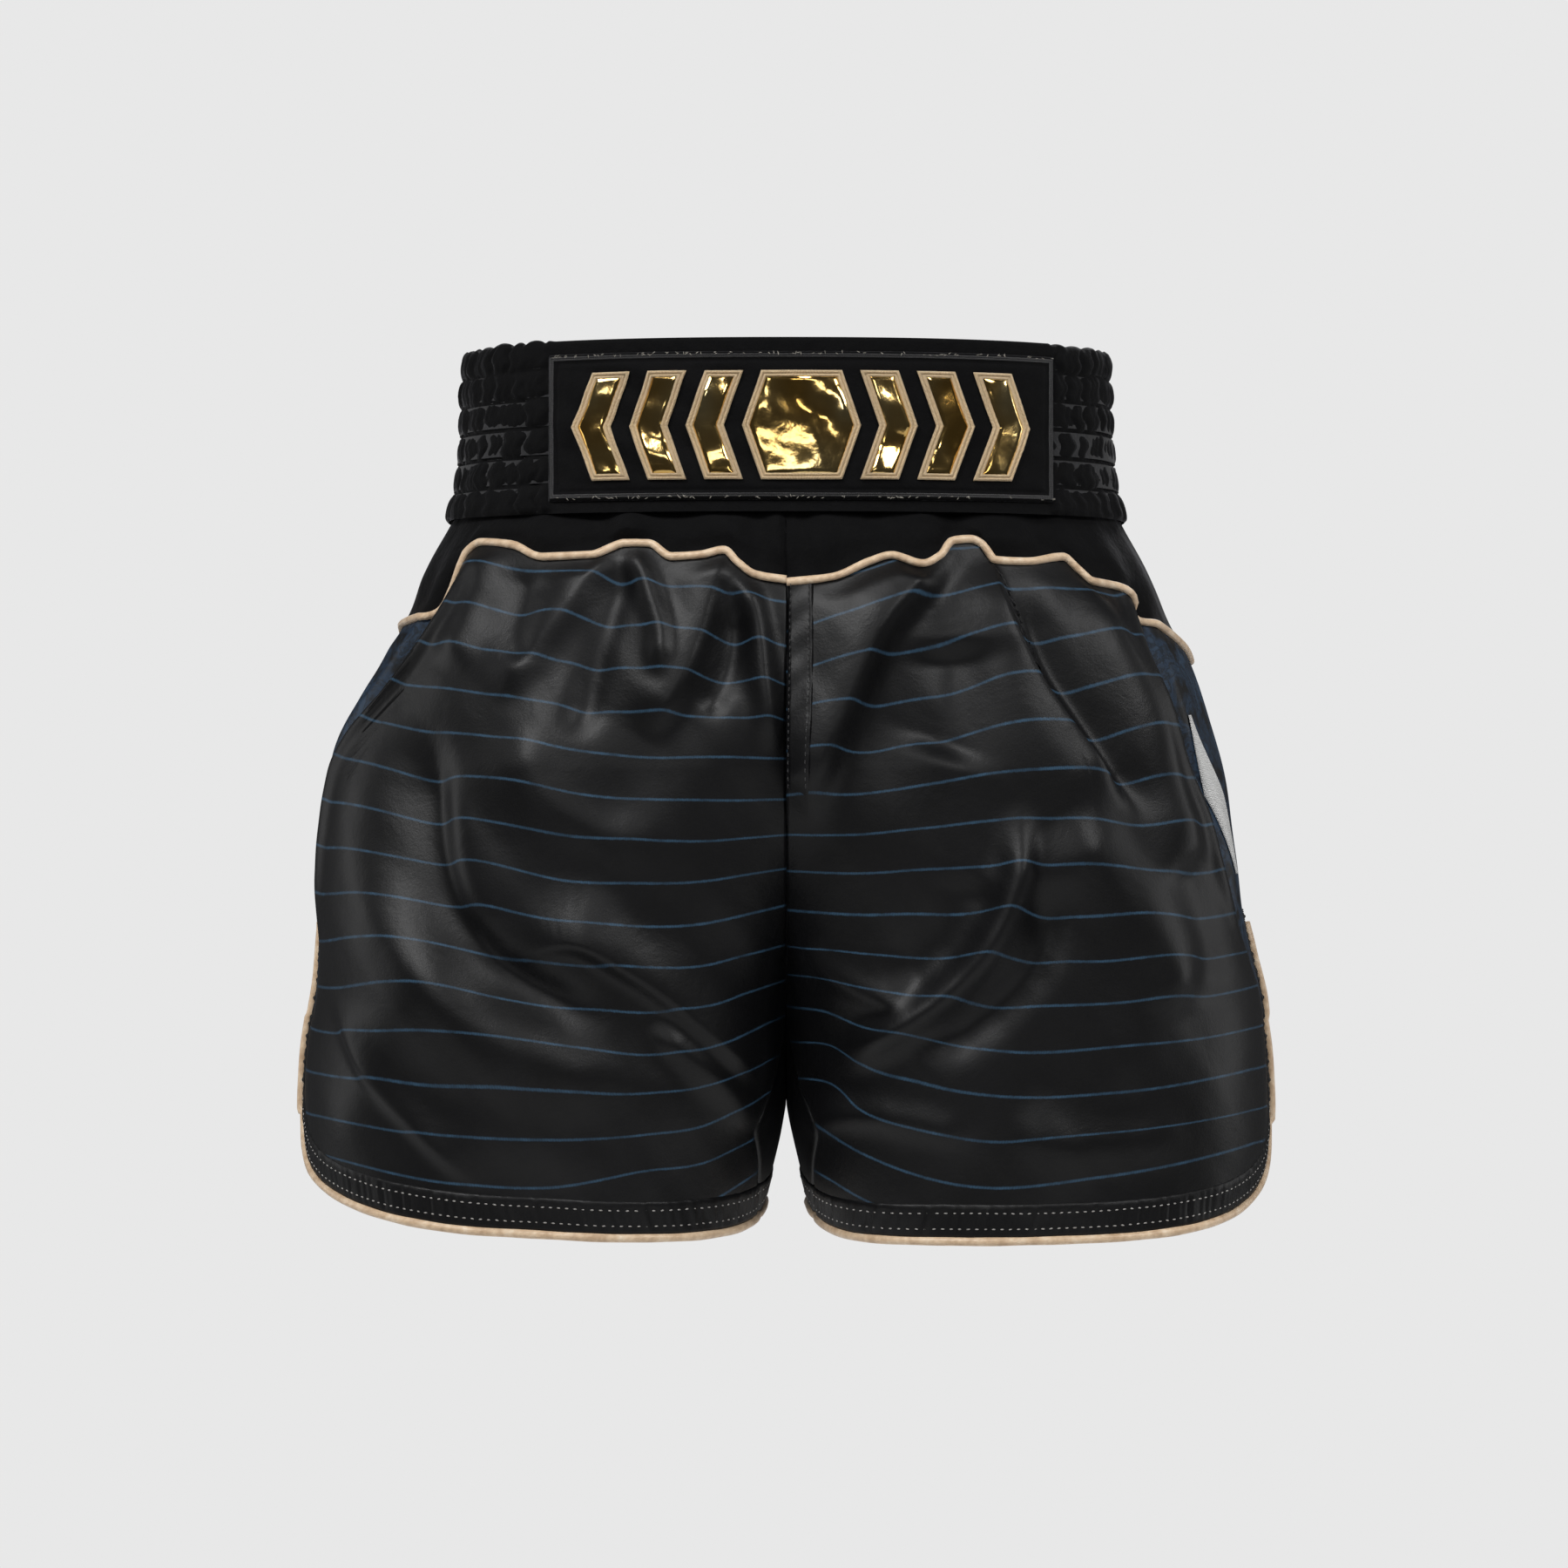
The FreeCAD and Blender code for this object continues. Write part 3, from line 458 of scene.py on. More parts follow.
def leg_cloth(side):
    """The folded leg cloth of one side, as a function of arrays of q and drop."""

    def surface(q, drop):
        q, drop = np.broadcast_arrays(np.asarray(q, float), np.asarray(drop, float))
        at = body_point(q, drop)
        raised = normals(body_point, q, drop) * read_lattice(HEIGHTS[side], q, drop)[..., None]
        raised[..., 0] *= ease((at[..., 0] + 4.0 * leg_gap(drop)) / 16.0)
        at = at + raised
        at[..., 0] = np.maximum(at[..., 0], 0.0)
        return at

    return surface


def on_cloth(side, surface, q, drop, lift):
    """Places raised by lift from a cloth, in millimetres, on their own side of the body."""
    q, drop, lift = np.broadcast_arrays(np.asarray(q, float), np.asarray(drop, float), lift)
    at = surface(q, drop) + normals(surface, q, drop) * lift[..., None]
    return at * np.array([side, 1.0, 1.0])


CLOTH = {side: leg_cloth(side) for side in (1, -1)}

# %% [markdown]
# ## Turning cloth into meshes
# A panel of cloth is a grid: threads run across it and down it. Blender's grid operator gives the faces, and
# each vertex is then carried to its place on the body. The same grid wrapped round into a tube gives cords.
# The grid's own coordinates are kept as a UV map in metres of cloth, because stripes and weave follow the
# cloth and not the space around it.

# %% Helpers for meshes
def finish_mesh(name, bm, material):
    """Object of a bmesh, smooth shaded, with one material."""
    mesh = bpy.data.meshes.new(name)
    bm.to_mesh(mesh)
    bm.free()
    mesh.materials.append(material)
    mesh.shade_smooth()
    piece = bpy.data.objects.new(name, mesh)
    bpy.context.scene.collection.objects.link(piece)
    return piece


def grid(columns, rows, place, flip=False, merge=False):
    """bmesh grid whose vertices go where place(u, w) says, in millimetres, with (x, y, z) and cloth (u, v)."""
    bm = bmesh.new()
    bmesh.ops.create_grid(bm, x_segments=columns, y_segments=rows, size=0.5)
    bm.verts.ensure_lookup_table()
    flat = np.array([vertex.co[:2] for vertex in bm.verts])
    at, cloth = place(flat[:, 0] + 0.5, 0.5 - flat[:, 1])
    uv = bm.loops.layers.uv.new("cloth")
    for face in bm.faces:
        for loop in face.loops:
            loop[uv].uv = cloth[loop.vert.index] * MM
    for vertex, point in zip(bm.verts, at * MM):
        vertex.co = point
    if merge:
        bmesh.ops.remove_doubles(bm, verts=bm.verts, dist=0.02 * MM)
    if flip:
        bmesh.ops.reverse_faces(bm, faces=bm.faces)
    return bm


def thicken(piece, thickness):
    """Gives a sheet its thickness, inwards from the seen face."""
    wall = piece.modifiers.new("cloth", "SOLIDIFY")
    wall.thickness = thickness * MM
    wall.offset = -1.0
    wall.use_even_offset = False
    return piece


def cord_grid(points, radius, sides=10, closed=False):
    """bmesh tube along points in millimetres, its UV map in mm along and round it."""
    points = np.asarray(points, float)
    if closed:
        ahead = np.roll(points, -1, axis=0) - np.roll(points, 1, axis=0)
        points, ahead = np.vstack([points, points[:1]]), np.vstack([ahead, ahead[:1]])
    else:
        ahead = np.gradient(points, axis=0)
    ahead /= np.linalg.norm(ahead, axis=1, keepdims=True)
    run = np.concatenate([[0], np.cumsum(np.linalg.norm(np.diff(points, axis=0), axis=1))])
    first = np.cross(ahead, np.array([0.0, 0.0, 1.0]))
    weak = np.linalg.norm(first, axis=1) < 0.15
    first[weak] = np.cross(ahead[weak], np.array([1.0, 0.0, 0.0]))
    for n in range(1, len(first)):
        first[n] = first[n - 1] - ahead[n] * first[n - 1].dot(ahead[n])
        first[n] /= np.linalg.norm(first[n])
    first[0] /= np.linalg.norm(first[0])
    second = np.cross(ahead, first)

    def place(u, w):
        at = np.clip(u * (len(points) - 1), 0, len(points) - 1)
        i = np.rint(at).astype(int)
        turn = 2 * math.pi * w
        size = radius(run[i]) if callable(radius) else radius
        ring = first[i] * np.cos(turn)[:, None] + second[i] * np.sin(turn)[:, None]
        where = points[i] + ring * (size[:, None] if callable(radius) else size)
        return where, np.stack([run[i], w * 2 * math.pi * 1.8], axis=-1)

    bm = grid(len(points) - 1, sides, place, merge=True)
    if not closed:
        bmesh.ops.holes_fill(bm, edges=bm.edges, sides=sides + 1)
    bmesh.ops.recalc_face_normals(bm, faces=bm.faces)
    return bm

# %% [markdown]
# ## Materials
# Black cloths differ in how they shine, so each has its own sheen and roughness and its own small relief.
# Satin has a soft, wide gloss from its floating threads. Velvet is nearly black face on and pale at grazing
# angles. Foil mirrors the room, crinkled. Every pattern's scale is set from real millimetres.

# %% Helpers for materials
def linear(hex_colour):
    """Linear RGBA from an sRGB hex colour."""
    channels = [int(hex_colour[i:i + 2], 16) / 255 for i in (0, 2, 4)]
    return (*[c / 12.92 if c <= 0.04045 else ((c + 0.055) / 1.055) ** 2.4 for c in channels], 1.0)


def add(tree, kind, inputs=(), **settings):
    """Adds a shader node, sets its properties, and sets or links its inputs."""
    node = tree.nodes.new(kind)
    for name, value in settings.items():
        setattr(node, name, value)
    for name, value in dict(inputs).items():
        if isinstance(value, bpy.types.NodeSocket):
            tree.links.new(value, node.inputs[name])
        else:
            node.inputs[name].default_value = value
    return node


def new_material(name, colour, roughness, **values):
    """Material with a Principled shader. values are its other inputs, with _ for spaces."""
    made = bpy.data.materials.new(name)
    made.use_nodes = True
    tree = made.node_tree
    shader = tree.nodes["Principled BSDF"]
    shader.inputs["Base Color"].default_value = linear(colour)
    shader.inputs["Roughness"].default_value = roughness
    for key, value in values.items():
        shader.inputs[key.replace("_", " ")].default_value = value
    return made, tree, shader


def ramp(tree, value, *stops):
    """Colour ramp through (place, hex colour) stops."""
    node = add(tree, "ShaderNodeValToRGB", {"Fac": value})
    elements = node.color_ramp.elements
    while len(elements) < len(stops):
        elements.new(0.5)
    for element, (place, colour) in zip(elements, stops):
        element.position = place
        element.color = linear(colour)
    return node.outputs["Color"]


def noise(tree, where, size_mm, detail=3.0, roughness=0.55, distortion=0.0):
    """Noise whose features are about size_mm across."""
    return add(tree, "ShaderNodeTexNoise", {
        "Vector": where, "Scale": 1000.0 / size_mm, "Detail": detail, "Roughness": roughness,
        "Distortion": distortion}).outputs["Fac"]


def bump(tree, height, depth_mm, before=None):
    """Bump of a 0 to 1 height that stands depth_mm proud."""
    inputs = {"Height": height, "Distance": depth_mm * MM, "Strength": 1.0}
    if before is not None:
        inputs["Normal"] = before
    return add(tree, "ShaderNodeBump", inputs).outputs["Normal"]


def maths(tree, operation, a, b=0.0, c=0.0):
    node = add(tree, "ShaderNodeMath", operation=operation)
    for n, value in enumerate((a, b, c)):
        if isinstance(value, bpy.types.NodeSocket):
            tree.links.new(value, node.inputs[n])
        else:
            node.inputs[n].default_value = value
    return node.outputs[0]


# %% [markdown]
# ### Satin and its stripes
# The satin's stripes follow the cloth, so they read a map of the cloth: its second coordinate is how far
# down the cloth a point is. A stripe is where that distance is near a multiple of the pitch. The same small
# relief goes on all satin, in two sizes: the crumple left by folding and washing, and the grain of the yarn.

# %% Satins
STRIPE_PITCH, STRIPE_WIDTH = 19.0, 1.05
SATIN = {"Sheen_Weight": 0.02, "Sheen_Roughness": 0.5, "Specular_IOR_Level": 0.3, "IOR": 1.5}


def satin_relief(tree, where):
    crumple = noise(tree, where, 26.0, 4.0, 0.6, 0.5)
    small = noise(tree, where, 7.0, 3.0, 0.6, 0.3)
    grain = noise(tree, where, 0.9, 2.0)
    return bump(tree, grain, 0.07, bump(tree, small, 0.05, bump(tree, crumple, 0.45)))


def satin(name, colour, light_colour, roughness=0.46):
    made, tree, shader = new_material(name, colour, roughness, **SATIN)
    shader.inputs["Sheen Tint"].default_value = linear("8f9099")
    where = add(tree, "ShaderNodeTexCoord").outputs["Object"]
    patches = noise(tree, where, 55.0, 3.0)
    tree.links.new(ramp(tree, patches, (0.35, colour), (0.7, light_colour)), shader.inputs["Base Color"])
    tree.links.new(maths(tree, "MULTIPLY_ADD", patches, 0.1, roughness - 0.05), shader.inputs["Roughness"])
    tree.links.new(satin_relief(tree, where), shader.inputs["Normal"])
    return made, tree, shader


black_satin, _, _ = satin("black satin", "050506", "09090b")

pinstripe_satin, tree, shader = satin("pinstriped satin", "050506", "09090b")
cloth_uv = add(tree, "ShaderNodeUVMap", uv_map="cloth").outputs["UV"]
parts = add(tree, "ShaderNodeSeparateXYZ", {"Vector": cloth_uv}).outputs
ragged = maths(tree, "MULTIPLY", noise(tree, cloth_uv, 1.6, 1.0), 0.5 * MM)
down = maths(tree, "ADD", parts["Y"], ragged)
off_stripe = maths(tree, "PINGPONG", down, STRIPE_PITCH / 2 * MM)
edge = maths(tree, "DIVIDE", off_stripe, STRIPE_WIDTH / 2 * MM)
in_stripe = maths(tree, "SUBTRACT", 1.5, edge)
in_stripe.node.use_clamp = True
threads = maths(tree, "SINE", maths(tree, "MULTIPLY", parts["X"], 2 * math.pi / (1.3 * MM)))
strength = maths(tree, "MULTIPLY", in_stripe, maths(tree, "MULTIPLY_ADD", threads, 0.12, 0.8))
plain = shader.inputs["Base Color"].links[0].from_socket
stripe_blue = ramp(tree, noise(tree, cloth_uv, 9.0, 2.0), (0.3, "22384a"), (0.7, "35536b"))
striped = add(tree, "ShaderNodeMix", {"Factor": strength, "A": plain, "B": stripe_blue}, data_type="RGBA")
tree.links.new(striped.outputs["Result"], shader.inputs["Base Color"])

camouflage_satin, tree, shader = satin("camouflage satin", "0a0b0d", "101216", 0.5)
where = add(tree, "ShaderNodeTexCoord").outputs["Object"]
blots = noise(tree, where, 22.0, 4.0, 0.62, 0.8)
fine_blots = noise(tree, where, 8.0, 3.0, 0.6, 0.4)
mottle = maths(tree, "MULTIPLY_ADD", fine_blots, 0.3, maths(tree, "MULTIPLY", blots, 0.8))
mottled = ramp(
    tree, mottle, (0.46, "07080a"), (0.5, "121c27"), (0.56, "203246"), (0.58, "0e161f"), (0.64, "26394d"))
tree.links.new(mottled, shader.inputs["Base Color"])

piping_satin, tree, shader = new_material(
    "champagne piping satin", "dcc0a0", 0.42, Sheen_Weight=0.35, Sheen_Roughness=0.4, Specular_IOR_Level=0.6)
cloth_uv = add(tree, "ShaderNodeUVMap", uv_map="cloth").outputs["UV"]
where = add(tree, "ShaderNodeTexCoord").outputs["Object"]
worn = noise(tree, where, 5.0, 3.0)
worn_colour = ramp(tree, worn, (0.3, "c2a382"), (0.55, "dfc3a2"), (0.8, "f3e0c6"))
tree.links.new(worn_colour, shader.inputs["Base Color"])
ribs = add(tree, "ShaderNodeTexWave", {"Vector": cloth_uv, "Scale": 190.0, "Distortion": 2.2, "Detail": 1.5},
           bands_direction="DIAGONAL").outputs["Fac"]
tree.links.new(bump(tree, ribs, 0.07, bump(tree, worn, 0.16)), shader.inputs["Normal"])

# %% [markdown]
# ### Velvet, foil and threads
# Velvet's pile lies this way and that where it was pressed, so its brightness wanders: its colour carries
# painted sheen in patches. The foil of the emblem is thin metal on cloth, a mirror with the soft dents of what
# is under it, and its colour is paler on the dents' tops: painted highlights. Threads are glossy in ribs.

# %% Velvet and foil
black_velvet, tree, shader = new_material(
    "black velvet", "040405", 0.8, Sheen_Weight=0.34, Sheen_Roughness=0.3, Specular_IOR_Level=0.12)
shader.inputs["Sheen Tint"].default_value = linear("97979c")
where = add(tree, "ShaderNodeTexCoord").outputs["Object"]
nap = noise(tree, where, 7.0, 4.0, 0.62)
pile = noise(tree, where, 0.7, 2.0)
# The colour is lighter where the nap noise is high: painted sheen of pressed pile, beside the real bump of the
# nap.
painted_sheen_nap_colour = ramp(tree, nap, (0.3, "030304"), (0.62, "060607"), (0.85, "0c0c0e"))
tree.links.new(painted_sheen_nap_colour, shader.inputs["Base Color"])
tree.links.new(bump(tree, pile, 0.16, bump(tree, nap, 0.7)), shader.inputs["Normal"])

gold_foil, tree, shader = new_material("gold foil", "d8b26a", 0.13, Metallic=1.0)
where = add(tree, "ShaderNodeTexCoord").outputs["Object"]
dents = noise(tree, where, 30.0, 1.0, 0.4, 0.4)
crinkle = noise(tree, where, 4.5, 2.0, 0.5)
# The colour pales to near white where the dents stand high: painted highlights, on top of the mirror's real
# reflections.
foil_colour_painted_highlights = ramp(tree, dents, (0.35, "cfa456"), (0.6, "e0bf7c"), (0.8, "f0dca6"))
tree.links.new(foil_colour_painted_highlights, shader.inputs["Base Color"])
tree.links.new(maths(tree, "MULTIPLY_ADD", crinkle, 0.12, 0.07), shader.inputs["Roughness"])
tree.links.new(bump(tree, crinkle, 0.15, bump(tree, dents, 9.0)), shader.inputs["Normal"])


def thread(name, colour, light, rib_mm=0.45, roughness=0.5, metallic=0.0):
    """Sewing thread: ribs across a strip whose map runs along it."""
    made, tree, shader = new_material(name, colour, roughness, Metallic=metallic, Sheen_Weight=0.3)
    cloth_uv = add(tree, "ShaderNodeUVMap", uv_map="cloth").outputs["UV"]
    across = add(tree, "ShaderNodeSeparateXYZ", {"Vector": cloth_uv}).outputs["X"]
    where = add(tree, "ShaderNodeTexCoord").outputs["Object"]
    fuzz = noise(tree, where, 1.1, 2.0)
    ribs_turn = maths(tree, "MULTIPLY", across, 2 * math.pi / (rib_mm * MM))
    phase = maths(tree, "MULTIPLY_ADD", fuzz, 1.5, ribs_turn)
    ribs = maths(tree, "MULTIPLY_ADD", maths(tree, "SINE", phase), 0.5, 0.5)
    tree.links.new(ramp(tree, maths(tree, "MULTIPLY_ADD", ribs, 0.5, maths(tree, "MULTIPLY", fuzz, 0.5)),
                        (0.2, colour), (0.75, light)), shader.inputs["Base Color"])
    tree.links.new(bump(tree, ribs, 0.18), shader.inputs["Normal"])
    return made


tan_thread = thread("tan satin stitch", "b08f66", "efd6ac", 0.55, 0.4)
black_thread = thread("black sewing thread", "0c0c0e", "1c1c20")
border_thread = thread("black border stitch", "08080a", "1c1b1d", 0.8)
pale_thread = thread("pale grey sewing thread", "6c6a67", "a9a6a2", 0.5)
white_thread = thread("white satin stitch", "c9c9c8", "f2f2f0", 0.6, 0.45)
frays, tree, shader = new_material("pale fray on the border", "b9b4a8", 0.7)
where = add(tree, "ShaderNodeTexCoord").outputs["Object"]
fray_colour = ramp(tree, noise(tree, where, 1.2, 2.0), (0.3, "76726a"), (0.7, "c9c4b8"))
tree.links.new(fray_colour, shader.inputs["Base Color"])


def woven(name, colour, light, yarn_mm, roughness=0.85):
    """Plain woven or knitted cloth with yarns in both directions."""
    made, tree, shader = new_material(name, colour, roughness, Sheen_Weight=0.15)
    where = add(tree, "ShaderNodeTexCoord").outputs["Object"]
    cells = add(tree, "ShaderNodeTexVoronoi", {"Vector": where, "Scale": 1000.0 / yarn_mm}).outputs["Distance"]
    tree.links.new(ramp(tree, cells, (0.1, light), (0.7, colour)), shader.inputs["Base Color"])
    tree.links.new(bump(tree, cells, 0.12), shader.inputs["Normal"])
    return made


lining_cloth = woven("black woven lining", "0b0b0c", "17171a", 0.6)
elastic_knit = woven("black knitted elastic", "101012", "202024", 1.4)
label_cloth = woven("white woven label", "c9c8c4", "e2e1dd", 0.5)
print("Materials:", ", ".join(sorted(m.name for m in bpy.data.materials)))

# %% [markdown]
# ## Panels of the legs
# Each leg is four panels above the gussets: a striped front, a mottled side in two parts that the vent
# divides, and a striped back. A panel's columns run between its two seams and its rows between the yoke and
# the hem. As both seams and both ends slant, a place on the panel is found by going round a few times: where
# the seams are at this drop, then where the ends are at that q. On the garment these are cut flat and sewn;
# here the grid is bent straight to the body, which keeps neighbouring seams exactly together.

# %% Panel maps
LEG_CLOTH_THICKNESS = 0.7


def panel_place(side, left_edge, right_edge, top, bottom):
    """Function of arrays (u, w) that gives q and drop between two edges, a top and a bottom."""

    def place(u, w):
        drop = 100.0 + 280.0 * w
        for _ in range(10):
            q = left_edge(drop) + (right_edge(drop) - left_edge(drop)) * u
            drop = top(q) + (bottom(q) - top(q)) * w
        return q, drop

    return place


SAG_AT = (0, 18, 32, 60, 90, 140, 205)
STRIPE_SAG = {
    -1: (
        (132, (20, 18, 16, 12, 8, 2, -3)), (193, (11, 11, 11, 10.5, 8.5, -0.5, 0)),
        (250, (0, 4, 7, 9, 8, -2, 0)),
        (305, (-7, -1, 5, 8, 5, 0, 0)), (340, (-17, -7, 0, 5, 7, 5.6, 0)), (365, (-20, -10, -3, 1, 7, 7, -3)),
    ),
    1: (
        (130, (18, 15, 13, 5, 0, 1, 3)), (172, (13, 12, 11.5, 5, 0, 2, 6)), (194, (10, 9.5, 9, 5, 0, 2, 6)),
        (252, (0, 1, 1.5, 0.5, 0, 3, 2.5)), (294, (-16, -15, -9, -3, 0, 0, -5)),
        (313, (-20, -22, -13, -6, 0, -1, -8)),
        (333, (-26, -25, -13, -3.5, 0, -1, -9)), (351, (-27, -21, -14, -4, 0, -5, -15)),
    ),
}
STRIPE_START, STRIPE_STRETCH = {-1: 134.0, 1: 130.2}, {-1: 18.8, 1: 19.8}


def stripe_sag(side, x, drop):
    """How far below level the cloth's stripes hang at this place on the front."""
    levels = [level for level, _ in STRIPE_SAG[side]]
    rows = np.array([np.asarray(along(list(zip(SAG_AT, values)), x)) for _, values in STRIPE_SAG[side]])
    at = np.interp(drop, levels, np.arange(len(levels)))
    i = np.clip(np.floor(at).astype(int), 0, len(levels) - 2)
    every = np.arange(np.size(x))
    return rows[i, every] + (rows[i + 1, every] - rows[i, every]) * ease(at - i)


def cloth_map(side, q, drop, height):
    """Coordinates of the flat cloth in millimetres: along the hem and down."""
    at = body_point(q, drop)
    sag = stripe_sag(side, at[..., 0], drop) * ease((0.5 - q) / 0.06) - 0.35 * height
    down = (drop - sag - STRIPE_START[side]) * STRIPE_PITCH / STRIPE_STRETCH[side]
    return np.stack([q * LEG_LOOP, down], axis=-1)


def leg_panel(name, side, edges, material, columns, rows, top=None, bottom=None):
    """Panel of cloth of one leg between two edges, with its stripes' map."""
    surface = CLOTH[side]
    bottom = bottom or (lambda q: hem_drop(side, q) - 0.4)
    place = panel_place(side, *edges, top or (lambda q: yoke_drop(side, q) - 0.2), bottom)

    def put(u, w):
        q, drop = place(u, w)
        points = on_cloth(side, surface, q, drop, 0.0)
        return points, cloth_map(side, q, drop, read_lattice(HEIGHTS[side], q, drop))

    piece = finish_mesh(name, grid(columns, rows, put, flip=side < 0), material)
    return thicken(piece, LEG_CLOTH_THICKNESS)


HIPS, LEG_NAMES = "hips", {1: "left", -1: "right"}


def at_hip(piece):
    """Bakes the piece's transform into its mesh."""
    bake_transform(piece)
    return piece


def cloth_area(piece):
    bm = bmesh.new()
    bm.from_mesh(piece.data)
    total = sum(face.calc_area() for face in bm.faces)
    bm.free()
    return total


def declare(piece, width, length, cut_cm2=None):
    """Prints a sheet's hung area beside its cut: width and length in millimetres, and its area where it isn't a
    rectangle.
    """
    cut = width * length * 0.01 if cut_cm2 is None else cut_cm2
    print(f"{piece.name}: {cloth_area(piece) * 1e4:.1f} cm2 hung, {cut:.1f} cm2 cut")


# Cuts of the panels: width and length in mm, area in cm2. The area is that of the smooth body between the
# seams with about 4 % of ease for the folds, and doesn't come from the folded mesh.
PANEL_CUTS = {
    1: {"front": (325, 330, 704), "back": (325, 325, 677),
        "side_front": (85, 245, 110), "side_rear": (80, 225, 104)},
    -1: {"front": (325, 330, 733), "back": (325, 325, 704),
         "side_front": (90, 265, 82), "side_rear": (70, 230, 78)},
}


# %% [markdown]
# ### Front, side and back
# The front panel's outer edge rolls over the side panel, so the side panel's seam tucks in behind it by a
# few millimetres. Each panel stands for two of the frame's nodes, an upper and a lower one, because the frame
# needs rigid parts and the cloth doesn't.

# %% Leg panels
def side_edges(side):
    """Edges of the four panels as functions of drop."""
    seam, vent = partial(side_seam, side), lambda drop: vent_half(drop) / LEG_LOOP
    return {
        "front_panel": (inner_seam, seam),
        "side_panel_front": (seam, lambda drop: 0.5 - vent(drop)),
        "side_panel_rear": (lambda drop: 0.5 + vent(drop), lambda drop: 1 - seam(drop)),
        "back_panel": (lambda drop: 1 - seam(drop), lambda drop: 1 - inner_seam(drop)),
    }


for side, word in LEG_NAMES.items():
    edges = side_edges(side)
    front = leg_panel(f"{word}_front_panel_cloth", side, edges["front_panel"], pinstripe_satin, 190, 210)
    rear = leg_panel(f"{word}_back_panel_cloth", side, edges["back_panel"], pinstripe_satin, 120, 130)
    fore = leg_panel(f"{word}_side_front_cloth", side, edges["side_panel_front"], camouflage_satin, 40, 130,
                     bottom=lambda q: np.minimum(hem_drop(side, q) - 0.4, CROTCH_DROP))
    aft = leg_panel(f"{word}_side_rear_cloth", side, edges["side_panel_rear"], camouflage_satin, 40, 130,
                    bottom=lambda q: np.minimum(hem_drop(side, q) - 0.4, CROTCH_DROP))
    for piece, node in ((front, "front_panel"), (rear, "back_panel"), (fore, "side_panel_front"),
                        (aft, "side_panel_rear")):
        at_hip(piece)
        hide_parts(f"{word}_{node}_upper", f"{word}_{node}_lower")
    for piece, cut in ((front, "front"), (rear, "back"), (fore, "side_front"), (aft, "side_rear")):
        width, length, cut_cm2 = PANEL_CUTS[side][cut]
        declare(piece, width, length, cut_cm2)

# %% [markdown]
# ### Gussets
# A gusset is the plain panel let into the inner leg so that the leg can swing. It starts at a point below the
# centre seam and is widest a little above the hem. It is gridded between the centre line and its own seam.

# %% Gussets
for side, word in LEG_NAMES.items():
    for rear, part_name in ((False, "front"), (True, "back")):
        def gusset_edge(drop, share=1.0, rear=rear):
            q = inner_seam(drop) * share
            return 1 - q if rear else q

        pair = (partial(gusset_edge, share=0.0), gusset_edge)
        name, edges = f"{word}_{part_name}_gusset_cloth", pair[::-1] if rear else pair
        piece = leg_panel(name, side, edges, black_satin, 16, 40, top=lambda q: GUSSET_TOP + 0 * q)
        at_hip(piece)
        declare(piece, 79, 92, 42.6)
        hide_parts(f"{word}_{part_name}_gusset")

# %% [markdown]
# ## Hems and vents
# The hem is turned up and stitched twice, and a piped edge runs round it and up both edges of the vent. The
# turned hem stands a little proud and puckers between its stitches. Along the vent the cloth is turned and
# stitched the same way, so the strip there is wrinkled across.

# %% Hem bands and vent strips
HEM_BAND_HEIGHT, VENT_STRIP_WIDTH = 15.0, 12.0
hem_random = np.random.default_rng(4)
pucker_phase = hem_random.uniform(0, 2 * math.pi, 8)


def pucker(run, amount=0.35):
    """Small ripples along a stitched strip, in millimetres."""
    lengths = (5.3, 7.9, 11.7, 3.7)
    return amount * sum(np.sin(2 * math.pi * run / n + p) for n, p in zip(lengths, pucker_phase)) / 2


def hem_place(side, rear, u, w, lift):
    """Hem band: u from the inseam to the vent, w from the band's upper edge to the hem."""
    q = (0.5 - VENT_HALF_AT_HEM / LEG_LOOP - 0.002) * u
    q = 1 - q if rear else q
    drop = hem_drop(side, q) - HEM_BAND_HEIGHT * (1 - w)
    ripple = pucker(q * LEG_LOOP) * np.sin(math.pi * w)
    lift = lift + ripple - 0.9 * ease((0.12 - w) / 0.12)
    return on_cloth(side, CLOTH[side], q, drop, lift), np.stack([q * LEG_LOOP, HEM_BAND_HEIGHT * w], -1)


def vent_place(side, rear, u, w, lift):
    """Vent strip: u from the vent's edge inwards, w from its top to the hem's corner."""
    drop = VENT_DROP - 3 + (TOTAL_DROP - 50.0 - VENT_DROP) * w
    width = VENT_STRIP_WIDTH * (1 - 0.25 * w)
    away = (vent_half(drop) + 0.3 + width * u) / LEG_LOOP
    q = 0.5 + away if rear else 0.5 - away
    ripple = pucker(drop * 1.3, 0.5) * np.sin(math.pi * np.clip(u, 0, 1))
    lift = lift + ripple - 0.9 * ease((u - 0.85) / 0.15)
    return on_cloth(side, CLOTH[side], q, drop, lift), np.stack([drop, VENT_STRIP_WIDTH * u], -1)


def join_grids(name, grids, material):
    """One object from several bmesh grids."""
    whole = bmesh.new()
    for bm in grids:
        part_mesh = bpy.data.meshes.new("part")
        bm.to_mesh(part_mesh)
        bm.free()
        whole.from_mesh(part_mesh)
        bpy.data.meshes.remove(part_mesh)
    return finish_mesh(name, whole, material)


for side, word in LEG_NAMES.items():
    bands = [grid(320, 10, partial(hem_place, side, rear, lift=0.6), flip=(side < 0) != rear)
             for rear in (False, True)]
    hem_band = join_grids(f"{word}_hem_band_cloth", bands, black_satin)
    strips = [grid(10, 130, partial(vent_place, side, rear, lift=0.9), flip=(side > 0) != rear)
              for rear in (False, True)]
    vent_strip = join_grids(f"{word}_vent_strips", strips, black_satin)
    for piece, node in ((hem_band, "hem_band"), (vent_strip, "vent_facing")):
        thicken(piece, 0.6)
        at_hip(piece)
        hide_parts(f"{word}_{node}")
    declare(hem_band, 700, 16)
    declare(vent_strip, 24, 84, 17.6)

